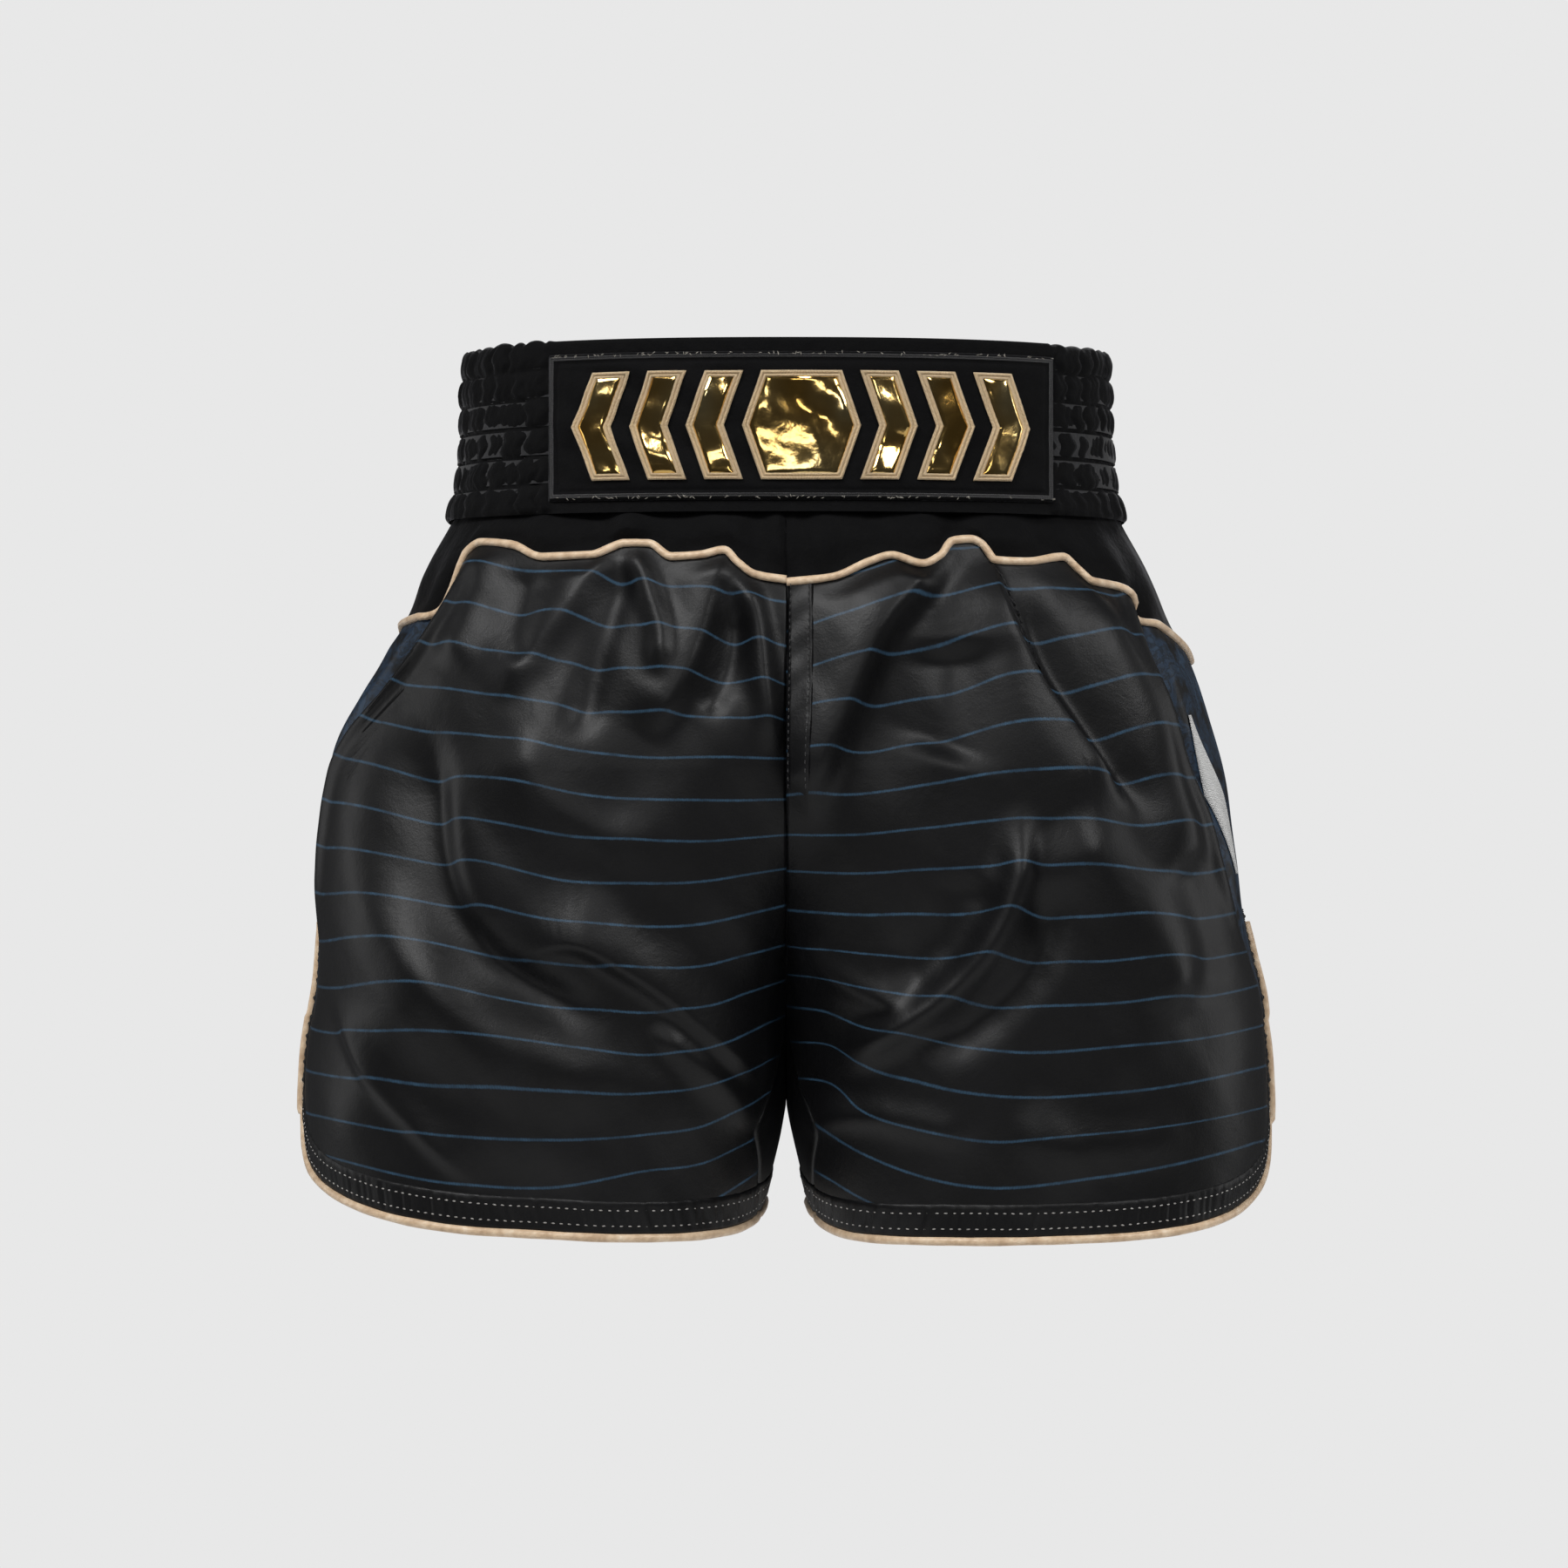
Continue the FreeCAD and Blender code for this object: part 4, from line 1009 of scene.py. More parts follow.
# %% [markdown]
# ### Piping and stitches of the hem
# Piping is a cord wrapped in satin whose seam allowance is caught in the seam, so here it is a tube on the
# edge. Its radius varies a little, since the satin wraps unevenly. The stitches are separate: each is a short
# rounded bar lying along the cloth, half sunk in it.

# %% Hem piping
PIPING_RADIUS, HEM_PIPING_RADIUS = 1.75, 1.9


def hem_path(side):
    """Points of the piped edge: down the front edge of the vent, round the hem and up the rear edge."""
    corner_drop = TOTAL_DROP - HEM_CORNER[side][0]
    down = np.arange(VENT_DROP + 1, corner_drop, 1.6)
    along_hem = np.linspace(0.5 - VENT_HALF_AT_HEM / LEG_LOOP, 0.0, 330)
    q_front = np.concatenate([0.5 - (vent_half(down) - 0.8) / LEG_LOOP, along_hem])
    drops = np.concatenate([down, hem_drop(side, along_hem) + 1.5])
    q = np.concatenate([q_front, 1 - q_front[::-1][1:]])
    drop = np.concatenate([drops, drops[::-1][1:]])
    lift = 0.35 + 1.5 * (np.abs(q - 0.5) * LEG_LOOP < VENT_HALF_AT_HEM)
    points = on_cloth(side, CLOTH[side], q, drop, lift)
    spaced = np.concatenate([[0], np.cumsum(np.linalg.norm(np.diff(points, axis=0), axis=1))])
    even = np.linspace(0, spaced[-1], int(spaced[-1] / 1.7))
    return np.stack([np.interp(even, spaced, points[:, k]) for k in range(3)], axis=-1)


def uneven(radius):
    return lambda run: radius * (1 + 0.03 * np.sin(run / 4.1) + 0.02 * np.sin(run / 6.7 + 1))


STITCH_PITCH, STITCH_ROWS = 3.7, (3.8, 10.6)


def stitch_bars(places, length=1.8, width=0.7, height=0.5):
    """bmesh of short rounded bars. places are (point, along, outward) in millimetres."""
    bm = bmesh.new()
    for point, ahead, out in places:
        made = bmesh.ops.create_icosphere(bm, subdivisions=1, radius=0.5)
        across = Vector(ahead).cross(Vector(out)).normalized()
        axes = (Vector(ahead) * length, across * width, Vector(out) * height)
        turn = Matrix([[axis[row] for axis in axes] for row in range(3)]).to_4x4()
        bmesh.ops.transform(bm, verts=made["verts"], matrix=Matrix.Translation(point) @ turn)
    bmesh.ops.scale(bm, verts=bm.verts, vec=(MM, MM, MM))
    bmesh.ops.recalc_face_normals(bm, faces=bm.faces)
    return bm


def stitch_row(side, q, drop, lift, jitter):
    """Places of stitches along a line on the cloth of one leg."""
    points = on_cloth(side, CLOTH[side], q, drop, lift)
    out = normals(CLOTH[side], q, drop) * np.array([side, 1, 1])
    ahead = np.gradient(points, axis=0)
    ahead /= np.maximum(np.linalg.norm(ahead, axis=1, keepdims=True), 1e-6)
    ahead = ahead + jitter.normal(0, 0.1, ahead.shape)
    ahead /= np.linalg.norm(ahead, axis=1, keepdims=True)
    return [(Vector(p), Vector(a), Vector(o)) for p, a, o in zip(points, ahead, out)]


for side, word in LEG_NAMES.items():
    cord = cord_grid(hem_path(side), uneven(HEM_PIPING_RADIUS))
    piping = finish_mesh(f"{word}_hem_piping_cord", cord, piping_satin)
    at_hip(piping)
    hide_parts(f"{word}_hem_piping")
    rows = []
    for above in STITCH_ROWS:
        reach = 0.5 - (VENT_HALF_AT_HEM + 2.0) / LEG_LOOP
        q = np.linspace(0.004, reach, int(reach * LEG_LOOP / STITCH_PITCH))
        for line in (q, 1 - q):
            rows += stitch_row(side, line, hem_drop(side, line) - above, 0.75, hem_random)
    stitches = finish_mesh(f"{word}_hem_stitches", stitch_bars(rows), pale_thread)
    at_hip(stitches)
    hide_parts(f"{word}_hem_stitching")
    bars = []
    for n in range(9):
        drop = np.full(1, VENT_DROP - 5.0 + 0.9 * n)
        q = np.full(1, 0.5)
        centre = on_cloth(side, CLOTH[side], q, drop, 1.1)[0]
        out = (normals(CLOTH[side], q, drop) * np.array([side, 1, 1]))[0]
        bars.append((Vector(centre), Vector((0, 1, 0)), Vector(out)))
    tack = finish_mesh(f"{word}_vent_tack", stitch_bars(bars, 9.0, 1.0, 1.2), black_thread)
    at_hip(tack)
    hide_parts(f"{word}_vent_bartack")
    print(word, "hem has", len(rows), "stitches")

# %% [markdown]
# ## Yokes
# The yoke is the velvet between the waistband and the piping, cut a little too long for the seam above, so
# that it puckers up and down. Its grid runs from the waistband's lower edge to the yoke seam. Under the edge
# of the waistband it starts slightly inside, as it is sewn behind it.

# %% Yokes
yoke_random = np.random.default_rng(8)
yoke_waves = [(yoke_random.uniform(14, 46), yoke_random.uniform(0, 6.28), yoke_random.uniform(0.25, 0.75))
              for _ in range(9)]


def yoke_surface(side):
    """Velvet of one side between waistband and yoke seam, as a function of q and drop."""

    def surface(q, drop):
        q, drop = np.broadcast_arrays(np.asarray(q, float), np.asarray(drop, float))
        at = body_point(q, drop)
        run = q * 300.0
        share = np.clip((drop - WAISTBAND_HEIGHT) / (yoke_drop(side, q) - WAISTBAND_HEIGHT), 0, 1)
        folds = sum(h * np.sin(2 * math.pi * run / n + p + side + 1.3 * share * np.sin(n))
                    for n, p, h in yoke_waves)
        height = folds * (0.5 + 0.5 * share) * 1.25 + 2.2 * np.sin(math.pi * share) - 0.6
        to_leg = ease((share - 0.55) / 0.45)
        height = height * (1 - to_leg) + read_lattice(HEIGHTS[side], q, drop) * to_leg
        height = height - 1.2 * np.exp(-((at[..., 0] / 2.2) ** 2))
        raised = normals(body_point, q, drop) * height[..., None]
        raised[..., 0] *= ease(at[..., 0] / 12.0)
        return at + raised

    return surface


YOKE = {side: yoke_surface(side) for side in (1, -1)}
# Cuts of the yokes: width and length in mm, area in cm2, 5 % fuller than the body so that they pucker.
YOKE_CUTS = {1: {"front": (266, 70, 76), "back": (257, 71, 122)},
             -1: {"front": (263, 52, 61), "back": (252, 57, 110)}}
for side, word in LEG_NAMES.items():
    for rear, part_name in ((False, "front"), (True, "back")):
        def put(u, w, side=side, rear=rear):
            q = 0.5 * u + (0.5 if rear else 0.0)
            drop = WAISTBAND_HEIGHT - 1.0 + (yoke_drop(side, q) + 0.6 - WAISTBAND_HEIGHT) * w
            return on_cloth(side, YOKE[side], q, drop, 0.0), np.stack([q * LEG_LOOP, drop], -1)

        yoke = finish_mesh(f"{word}_{part_name}_yoke_cloth", grid(180, 44, put, flip=side < 0), black_velvet)
        thicken(yoke, 1.0)
        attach(yoke, HIPS)
        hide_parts(f"{word}_{part_name}_yoke")
        width, length, cut_cm2 = YOKE_CUTS[side][part_name]
        declare(yoke, width, length, cut_cm2)
        q = np.linspace(0.5 if rear else 0.0, 1.0 if rear else 0.5, 190)
        line = on_cloth(side, CLOTH[side], q, yoke_drop(side, q), 0.9)
        cord = cord_grid(line, uneven(PIPING_RADIUS))
        piping = finish_mesh(f"{word}_{part_name}_yoke_piping_cord", cord, piping_satin)
        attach(piping, HIPS)
        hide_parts(f"{word}_{part_name}_yoke_piping")

# %% [markdown]
# ## Waistband
# Six strips of elastic run round the waist in six stitched channels, and pull the velvet over them into
# small gathers. Each channel puffs out, its gathers differ from those of the next one, and the stitched rows
# between them are pulled in. Under the patch the velvet lies flat. The gathers are ridged noise: a sum of
# waves whose creases are sharp and whose tops are round.

# %% Gathers
CHANNELS, BAND_COLUMNS, BAND_ROWS = 6, 860, 84
band_random = np.random.default_rng(21)
PATCH_WIDTH, PATCH_HEIGHT, PATCH_SHIFT, PATCH_TOP = 218.0, 65.0, 6.5, 6.5


def random_ring(columns, spacing, spread=0.35):
    """Values round the ring from puffs about spacing columns wide, with sharp creases between them."""
    edges = [0.0]
    while edges[-1] < columns - spacing * 0.6:
        edges.append(edges[-1] + spacing * band_random.uniform(1 - spread, 1 + spread * 1.4))
    edges[-1] = float(columns)
    edges = np.array(edges)
    heights = band_random.uniform(0.45, 1.0, len(edges))
    at = np.arange(columns, dtype=float)
    i = np.clip(np.searchsorted(edges, at, side="right") - 1, 0, len(edges) - 2)
    share = (at - edges[i]) / (edges[i + 1] - edges[i])
    return heights[i] * (4 * share * (1 - share)) ** 0.55


def channel_gathers():
    """Puff heights for each channel round the ring: broad puffs with smaller ones on them."""
    rows = []
    for _ in range(CHANNELS):
        broad, small = random_ring(BAND_COLUMNS, 11.0), random_ring(BAND_COLUMNS, 4.6)
        rows.append(0.68 * broad + 0.32 * small)
    return np.array(rows)


GATHERS = channel_gathers()
RUFFLE = random_ring(BAND_COLUMNS, 9.0)


def ring_value(table, turn):
    """Value of a ring of columns at each turn from 0 to 1, smooth between columns."""
    at = (turn % 1.0) * BAND_COLUMNS
    i = np.floor(at).astype(int) % BAND_COLUMNS
    t = at - np.floor(at)
    return table[i] * (1 - t) + table[(i + 1) % BAND_COLUMNS] * t


def band_height(turn, drop):
    """How far the shirred velvet stands off the band's stitched rows, in millimetres."""
    pitch = WAISTBAND_HEIGHT / CHANNELS
    wander = 0.5 * np.sin(turn * 61) + 0.35 * np.sin(turn * 147 + 2)
    place = np.clip((drop + wander) / pitch, 0, CHANNELS - 1e-6)
    row = np.floor(place).astype(int)
    share = place - row
    puff = (4 * share * (1 - share)) ** 0.42
    lean = turn + 0.0022 * np.sin(row * 2.1 + 1) * (share - 0.5)
    lean = lean + 0.0012 * np.sin(share * 9 + row * 3 + turn * 90)
    gathers = np.choose(row, [ring_value(GATHERS[n], lean) for n in range(CHANNELS)])
    return puff * (0.5 + 3.3 * gathers)


def band_point(turn, drop):
    """The smooth waistband at a turn from the centre front through the wearer's left, in millimetres."""
    side = np.where(turn % 1.0 < 0.5, 1.0, -1.0)
    q = np.where(turn % 1.0 < 0.5, 2 * (turn % 1.0), 2 - 2 * (turn % 1.0))
    drop = np.clip(drop, 0.0, WAISTBAND_HEIGHT)
    at = body_point(q, drop)
    out = normals(body_point, q, drop)
    out[..., 2] = 0
    out /= np.linalg.norm(out, axis=-1, keepdims=True)
    flip = np.stack([side, np.ones_like(side), np.ones_like(side)], -1)
    return at * flip, out * flip


def under_patch(at):
    """1 where the patch lies on the band and 0 away from it."""
    inside = ease((PATCH_WIDTH / 2 + 2 - np.abs(at[..., 0] - PATCH_SHIFT)) / 5.0)
    return inside * (at[..., 1] < 0)


# %% [markdown]
# ### Band and lining
# The velvet is one ring: it starts inside, turns over the top edge, where it ruffles, and runs down outside
# to the yoke. The lining is a smooth ring behind it. The gathers modelled here take up 860 mm of velvet; a
# real shirred band is cut fuller.

# %% Waistband pieces
def band_place(u, w):
    turn, down = u, -9.0 + (WAISTBAND_HEIGHT + 9.0) * w
    at, out = band_point(turn, np.abs(down))
    inside = ease((0.6 - down) / 2.4)
    patched = under_patch(at)
    height = band_height(turn, np.clip(down, 0.2, WAISTBAND_HEIGHT - 0.05))
    height = height * (1 - patched) + 1.2 * patched
    height = np.where(down > 0, height, 0.0) * (1 - inside) - 3.6 * inside
    at = at + out * (height + 1.2)[..., None]
    ruffle = (ring_value(RUFFLE, turn) * 2.6 - 1.3) * (1 - patched) * np.exp(-((down / 4.0) ** 2))
    at[..., 2] += ruffle
    return at, np.stack([turn * 1100.0, down], -1)


shell = finish_mesh("waistband_velvet", grid(BAND_COLUMNS, BAND_ROWS, band_place, merge=True), black_velvet)
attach(shell, HIPS)
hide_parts("waistband_shell")
declare(shell, 860, 85)


def lining_place(u, w):
    down = 3.0 + (WAISTBAND_HEIGHT - 3.5) * w
    at, out = band_point(u, down)
    ripple = 0.4 * np.sin(u * 2 * math.pi * 70) * np.abs(np.sin(down * math.pi * CHANNELS / WAISTBAND_HEIGHT))
    return at + out * (ripple - 6.0)[..., None], np.stack([u * 770.0, down], -1)


lining = finish_mesh("waistband_inside", grid(420, 40, lining_place, flip=True, merge=True), lining_cloth)
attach(lining, HIPS)
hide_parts("waistband_lining")
declare(lining, 740, 73)

rows = []
for n in range(CHANNELS + 1):
    drop = min(max(n * WAISTBAND_HEIGHT / CHANNELS, 1.2), WAISTBAND_HEIGHT - 0.8)

    def row_place(u, w, drop=drop):
        at, out = band_point(u, np.full_like(u, drop) + (w - 0.5) * 0.7)
        return at + out * (1.2 + 0.35 * np.sin(math.pi * w))[..., None], np.stack([u * 770.0, w], -1)

    rows.append(grid(500, 2, row_place, merge=True))
channel_rows = join_grids("channel_stitches", rows, black_thread)
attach(channel_rows, HIPS)
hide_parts("channel_stitching")

# %% [markdown]
# ## Patch and emblem
# The patch is a padded rectangle of velvet sewn flat on the front. On it is an appliqued emblem: a six-sided
# plate with bent bars on each side, gold foil inside and a double ridge of tan satin stitch round each
# shape. Everything here is drawn in the patch's own flat coordinates and carried round the body by one
# function, so the layers stay parallel.

# %% Patch surface
patch_random = np.random.default_rng(5)
patch_waves = [(patch_random.uniform(28, 90), patch_random.uniform(16, 60), patch_random.uniform(0, 6.28))
               for _ in range(6)]


def on_patch(x, z, lift):
    """Point (x, z) of the flat patch from its middle, raised by lift from the waistband, in millimetres."""
    x, z = np.broadcast_arrays(np.asarray(x, float), np.asarray(z, float))
    across = PATCH_SHIFT + x
    drop = np.clip(PATCH_TOP + PATCH_HEIGHT / 2 - z, 0.2, WAISTBAND_HEIGHT)
    side = np.where(across < 0, -1.0, 1.0)
    q = q_at(np.abs(across), drop)
    at = body_point(q, drop)
    at[..., 0] *= side
    edge = np.minimum(PATCH_WIDTH / 2 - np.abs(x), PATCH_HEIGHT / 2 - np.abs(z))
    wave = sum(np.sin(2 * math.pi * (x / a + z / b) + p) for a, b, p in patch_waves) * 0.22
    height = 4.4 + lift + (wave + 0.7) * ease(edge / 9.0)
    out = normals(body_point, q, drop) * np.stack([side, np.ones_like(side), np.ones_like(side)], -1)
    return at + out * height[..., None]


def patch_cloth(u, w):
    x, z = (u - 0.5) * PATCH_WIDTH, (0.5 - w) * PATCH_HEIGHT
    edge = np.minimum(PATCH_WIDTH / 2 - np.abs(x), PATCH_HEIGHT / 2 - np.abs(z))
    groove = -0.45 * np.exp(-(((edge - 4.2) / 0.9) ** 2)) - 1.4 * ease((1.2 - edge) / 1.2)
    return on_patch(x, z, groove), np.stack([x, z], -1)


patch = finish_mesh("front_patch_velvet", grid(330, 130, patch_cloth), black_velvet)
thicken(patch, 1.6)
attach(patch, HIPS)
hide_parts("front_patch", "patch_backing")
declare(patch, 232, 67)


# %% [markdown]
# ### Outlines
# A ribbon of stitches follows a closed outline with mitred corners. Its cross-section is two round ridges.

# %% Ribbons along outlines
def outline_points(corners, spacing):
    """Evenly spaced points along a closed outline, with the inward mitre at each."""
    corners = np.array(corners, float)
    points, inward = [], []
    ahead = np.roll(corners, -1, axis=0) - corners
    ahead /= np.linalg.norm(ahead, axis=1, keepdims=True)
    inside = np.stack([-ahead[:, 1], ahead[:, 0]], -1)
    if (np.roll(corners, -1, axis=0) * np.stack([-corners[:, 1], corners[:, 0]], -1)).sum() < 0:
        inside = -inside
    for n, corner in enumerate(corners):
        mitre = inside[n - 1] + inside[n]
        mitre = mitre / (mitre @ inside[n])
        after = inside[n] + inside[(n + 1) % len(corners)]
        after = after / (after @ inside[n])
        end = corners[(n + 1) % len(corners)]
        steps = max(2, int(np.linalg.norm(end - corner) / spacing))
        for t in np.arange(steps) / steps:
            points.append(corner * (1 - t) + end * t)
            inward.append(mitre * (1 - t) + after * t)
    return np.array(points), np.array(inward)


def ribbon(corners, width, height, ridges, lift, inset=0.0, spacing=1.4, across=12):
    """bmesh ribbon inside a closed outline on the patch."""
    points, inward = outline_points(corners, spacing)
    count = len(points)
    run = np.concatenate([[0], np.cumsum(np.linalg.norm(np.diff(points, axis=0, append=points[:1]), axis=1))])

    def place(u, w):
        i = np.rint(u * count).astype(int) % count
        flat = points[i] + inward[i] * (inset + width * w)[:, None]
        bulge = height * np.abs(np.sin(math.pi * ridges * w)) ** 0.7
        wobble = 0.12 * np.sin(run[i] * 1.9) * height
        at = on_patch(flat[:, 0], flat[:, 1], lift + bulge + wobble)
        return at, np.stack([run[np.rint(u * count).astype(int)], w * width], -1)

    return grid(count, across, place, merge=True)


EMBLEM_HEIGHT, PLATE_WIDTH, BAR_WIDTH, BAR_PITCH, BAR_GAP = 47.0, 50.0, 15.5, 24.0, 8.5


def emblem_outlines():
    """A six-sided plate and three bent bars on each side of it, as corners on the flat patch."""
    half, slant, tip = EMBLEM_HEIGHT / 2, 8.0, PLATE_WIDTH / 2
    shoulder = tip - slant
    plate = [(-shoulder, half), (shoulder, half), (tip, 0), (shoulder, -half), (-shoulder, -half), (-tip, 0)]
    outlines = [plate]
    for mirror in (-1, 1):
        for n in range(3):
            near = tip + BAR_GAP + n * BAR_PITCH
            far = near + BAR_WIDTH
            corners = [(near - slant, half), (far - slant, half), (far, 0)]
            corners += [(far - slant, -half), (near - slant, -half), (near, 0)]
            outlines.append([(mirror * x, z) for x, z in corners])
    return outlines


def foil_grid(corners):
    """bmesh of a foil shape between its left and right edges: every shape here has two bent sides."""
    left = np.array([corners[0], corners[5], corners[4]], float)
    right = np.array([corners[1], corners[2], corners[3]], float)

    def place(u, w):
        z = np.interp(w, [0, 1], [left[0, 1] - 0.8, left[2, 1] + 0.8])
        start = np.interp(-z, -left[:, 1], left[:, 0])
        end = np.interp(-z, -right[:, 1], right[:, 0])
        inset = np.sign(end - start) * 0.8
        x = start + inset + (end - start - 2 * inset) * u
        depth = np.minimum(u, 1 - u) * np.abs(end - start)
        pillow = 1.2 * ease(np.minimum(depth, EMBLEM_HEIGHT / 2 - np.abs(z)) / 4.0)
        return on_patch(x, z, 0.35 + pillow), np.stack([x, z], -1)

    mirrored = corners[1][0] < corners[0][0]
    return grid(36, 72, place, flip=mirrored)


outlines = emblem_outlines()
foil = join_grids("emblem_foil_shapes", [foil_grid(corners) for corners in outlines], gold_foil)
thicken(foil, 0.3)
stitch_grids = [ribbon(corners, 3.0, 1.0, 2, 0.7, inset=-0.4) for corners in outlines]
emblem_stitches = join_grids("emblem_satin_stitch", stitch_grids, tan_thread)
w2, h2 = PATCH_WIDTH / 2, PATCH_HEIGHT / 2
border_corners = [(-w2, h2), (w2, h2), (w2, -h2), (-w2, -h2)]
border_grid = ribbon(border_corners, 1.7, 0.5, 2, -0.15, inset=1.2)
border = join_grids("patch_border_stitch", [border_grid], border_thread)
for piece, name, node in (
    (foil, "gold_foil", "emblem_foil"),
    (emblem_stitches, "tan_thread", "emblem_stitching"),
    (border, "black_thread", "patch_border"),
):
    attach(piece, HIPS)
    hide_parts(node)
    bm = bmesh.new()
    bm.from_mesh(piece.data)
    bmesh.ops.recalc_face_normals(bm, faces=bm.faces)
    bm.to_mesh(piece.data)
    bm.free()

# %% [markdown]
# The edge of the patch was cut, so pale ends of its backing stick out through the border's stitches here and
# there, most along the top and bottom.

# %% Frayed ends
FRAY_COUNT = 150
fray_random = np.random.default_rng(12)
fray_places = []
for _ in range(FRAY_COUNT):
    edge_z = fray_random.choice([-1, 1]) * (PATCH_HEIGHT / 2 - fray_random.uniform(0.5, 1.6))
    edge_x = fray_random.uniform(-1, 1) * PATCH_WIDTH / 2
    centre = Vector(on_patch(edge_x, edge_z, 0.35))
    ahead = Vector((fray_random.uniform(-1, 1), 0.0, fray_random.uniform(-0.5, 0.5))).normalized()
    fray_places.append((centre, ahead, Vector((0.0, -1.0, 0.0))))
fray_piece = finish_mesh("patch_frays", stitch_bars(fray_places, 1.7, 0.28, 0.3), frays)
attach(fray_piece, HIPS)

# %% [markdown]
# ## Fly strip, side patch and label
# The fly is a narrow topstitched strip beside the centre seam. The folds of both legs nearly close over its
# lower half. The side patch is a plain pointed shape in white satin stitch, and the label hangs inside the
# centre back.

# %% Small pieces
FLY_WIDTH, FLY_TOP, FLY_END = 11.0, 107.5, 208.0


def fly_place(u, w):
    drop = FLY_TOP + (FLY_END - FLY_TOP) * w
    x = 0.6 + FLY_WIDTH * u
    ripple = 0.45 * np.sin(drop / 2.3 + 3 * u) + 0.3 * np.sin(drop / 5.1)
    rim = -1.0 * ease((0.12 - np.minimum(u, 1 - u)) / 0.12)
    sunk = -2.6 * ease((w - 0.8) / 0.2)
    at = on_cloth(1, CLOTH[1], q_at(x, drop), drop, 1.1 + ripple * 0.5 + rim + sunk)
    return at, np.stack([drop, x], -1)


fly = thicken(finish_mesh("fly_strip", grid(16, 130, fly_place), black_satin), 0.6)
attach(fly, HIPS)
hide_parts("fly_facing")
declare(fly, 12, 110)

SIDE_PATCH = {"top": 164.0, "height": 70.0, "width": 24.0, "from_seam": 27.0}


def side_patch_place(u, w):
    half = SIDE_PATCH["width"] / 2 * (1 - 0.9 * np.abs(2 * w - 1))
    drop = SIDE_PATCH["top"] + SIDE_PATCH["height"] * w
    q = side_seam(1, drop) + (SIDE_PATCH["from_seam"] + (2 * u - 1) * half) / LEG_LOOP
    rim = -0.8 * ease((0.1 - np.minimum(u, 1 - u)) / 0.1)
    return on_cloth(1, CLOTH[1], q, drop, 1.2 + rim), np.stack([drop, 2 * u * half], -1)


side_patch = thicken(finish_mesh("left_side_patch_stitch", grid(24, 70, side_patch_place), white_thread), 0.5)
at_hip(side_patch)
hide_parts("left_side_patch")
declare(side_patch, 22, 71, 8.6)


def label_place(u, w):
    drop = WAISTBAND_HEIGHT + 1.0 + 42.0 * w
    q = q_at(44.0 - 32.0 * u, drop)
    at = body_point(1 - q, drop)
    out = normals(body_point, 1 - q, drop)
    curl = 1.2 * np.sin(math.pi * u) * w
    return at - out * (3.4 + curl)[..., None], np.stack([u * 32, w * 42], -1)


label = thicken(finish_mesh("care_label_cloth", grid(20, 24, label_place, flip=True), label_cloth), 0.2)
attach(label, HIPS)
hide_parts("care_label")
declare(label, 34, 42)

fly_rows = []
for x in (1.9, FLY_WIDTH - 0.9):
    drop = np.arange(109.0, FLY_END - 14.0, 3.0)
    points = on_cloth(1, CLOTH[1], q_at(np.full_like(drop, x), drop), drop, 2.0)
    out = normals(CLOTH[1], q_at(np.full_like(drop, x), drop), drop)
    fly_rows += [(Vector(p), Vector((0.0, 0.0, -1.0)), Vector(o)) for p, o in zip(points, out)]
fly_stitches = finish_mesh("fly_stitches", stitch_bars(fly_rows, 2.0, 0.5, 0.4), border_thread)
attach(fly_stitches, HIPS)

for name, node in nodes.items():
    if name.startswith("elastic_strip"):
        node.data.materials.clear()
        node.data.materials.append(elastic_knit)

# %% [markdown]
# ## Setting and light
# A pale seamless ground keeps the eye on the cloth. Black satin shows only what it reflects, so the lamps
# are large and soft: one high on the left that draws the folds, one on the right, a low one in front, and one
# behind for the edges. The camera stands level with the middle of the shorts and far away, so that both the
# top edge and the hem look straight.

# %% Stage, lamps and camera
pale_ground, tree, shader = new_material("pale studio ground", "e9e9e9", 0.9)
where = add(tree, "ShaderNodeTexCoord").outputs["Object"]
ground_colour = ramp(tree, noise(tree, where, 900.0, 2.0), (0.3, "e7e7e7"), (0.7, "ebebeb"))
tree.links.new(ground_colour, shader.inputs["Base Color"])


GROUND_SIZE, GROUND_LEVEL = 3000.0, -900.0


def ground_place(u, w):
    at = [(u - 0.5) * GROUND_SIZE, (0.5 - w) * GROUND_SIZE, GROUND_LEVEL + 0 * u]
    return np.stack(at, -1), np.stack([u, w], -1)


ground = finish_mesh("ground", grid(8, 8, ground_place), pale_ground)


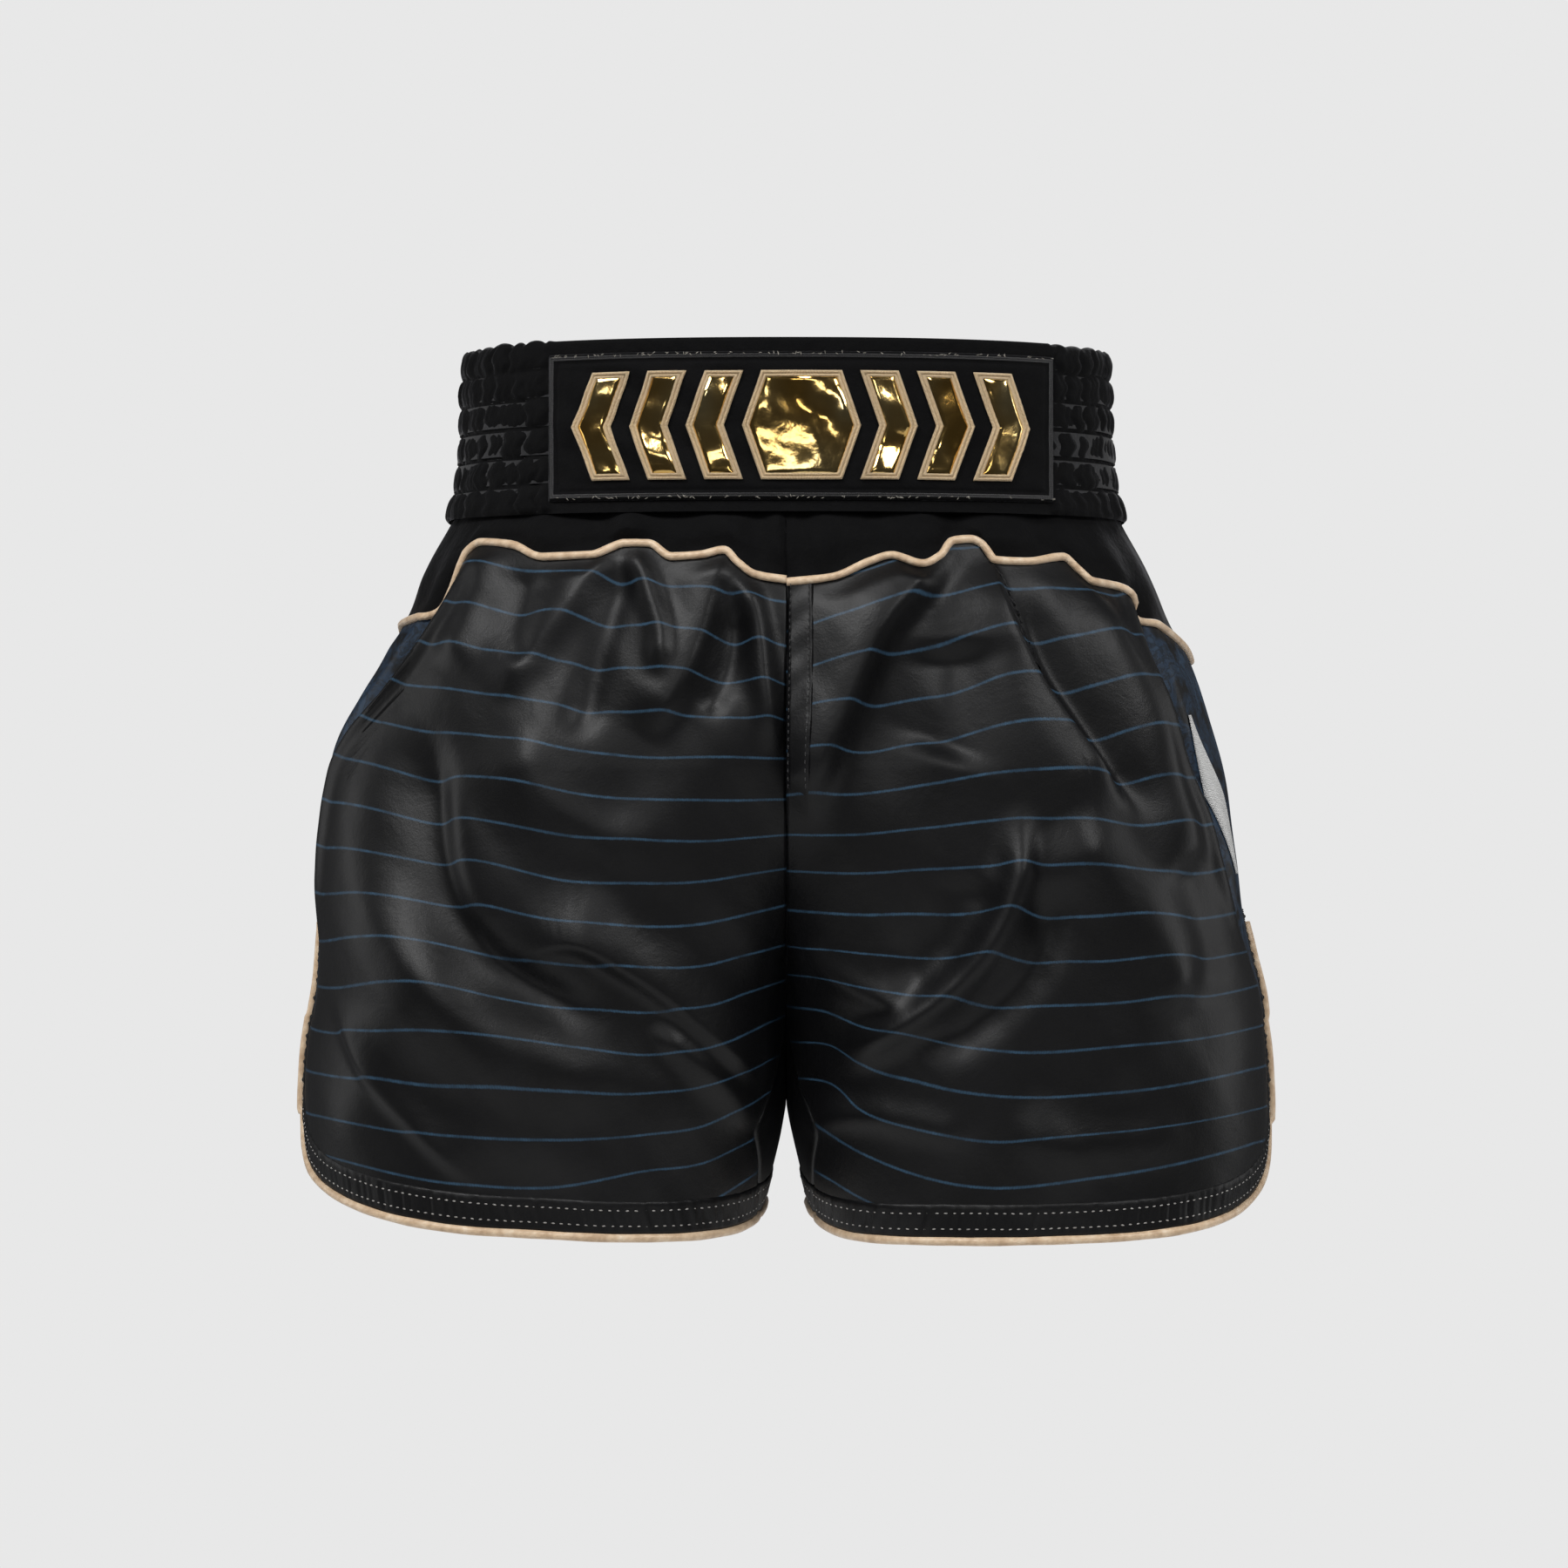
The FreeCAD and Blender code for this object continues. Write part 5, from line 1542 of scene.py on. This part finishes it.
def area_lamp(name, place, size, power):
    """Soft rectangular lamp in metres and watts, aimed at the middle of the shorts."""
    light = bpy.data.lights.new(name, "AREA")
    light.shape, light.size, light.size_y = "RECTANGLE", size[0], size[1]
    light.energy = power
    lamp = bpy.data.objects.new(name, light)
    bpy.context.scene.collection.objects.link(lamp)
    lamp.location = place
    lamp.rotation_euler = (Vector(MIDDLE) - Vector(place)).to_track_quat("-Z", "Y").to_euler()


MIDDLE = (0.0, 0.0, -0.195)
LAMPS = (
    ("key lamp", (-0.9, -1.3, 1.5), (1.0, 0.7), 34.0),
    ("right lamp", (1.2, -1.4, 1.1), (0.8, 0.7), 19.0),
    ("front card", (-0.5, -2.7, 0.7), (1.2, 0.4), 6.0),
    ("low lamp", (0.0, -1.9, -1.2), (1.8, 0.4), 1.5),
    ("left edge lamp", (-1.8, 0.3, 0.1), (0.5, 1.4), 6.0),
    ("right edge lamp", (1.8, 0.3, 0.1), (0.5, 1.4), 6.0),
    ("back lamp", (0.3, 1.9, 1.3), (1.4, 0.8), 30.0),
)
for lamp_settings in LAMPS:
    area_lamp(*lamp_settings)

world = bpy.data.worlds.new("studio")
world.use_nodes = True
sky = world.node_tree
seen = add(sky, "ShaderNodeLightPath").outputs["Is Camera Ray"]
brightness = maths(sky, "MULTIPLY_ADD", seen, 0.95, 0.05)
background = sky.nodes["Background"]
background.inputs["Color"].default_value = linear("e8e8e8")
sky.links.new(brightness, background.inputs["Strength"])
bpy.context.scene.world = world
bpy.context.scene.view_settings.view_transform = "Standard"

CAMERA_DISTANCE = 2.11
camera = bpy.data.cameras.new("camera")
camera.lens, camera.sensor_width = 106.7, 36.0
camera_object = bpy.data.objects.new("camera", camera)
bpy.context.scene.collection.objects.link(camera_object)
camera_object.location = (-0.001, -CAMERA_DISTANCE, -0.194)
camera_object.rotation_euler = (math.pi / 2, 0, 0)
bpy.context.scene.camera = camera_object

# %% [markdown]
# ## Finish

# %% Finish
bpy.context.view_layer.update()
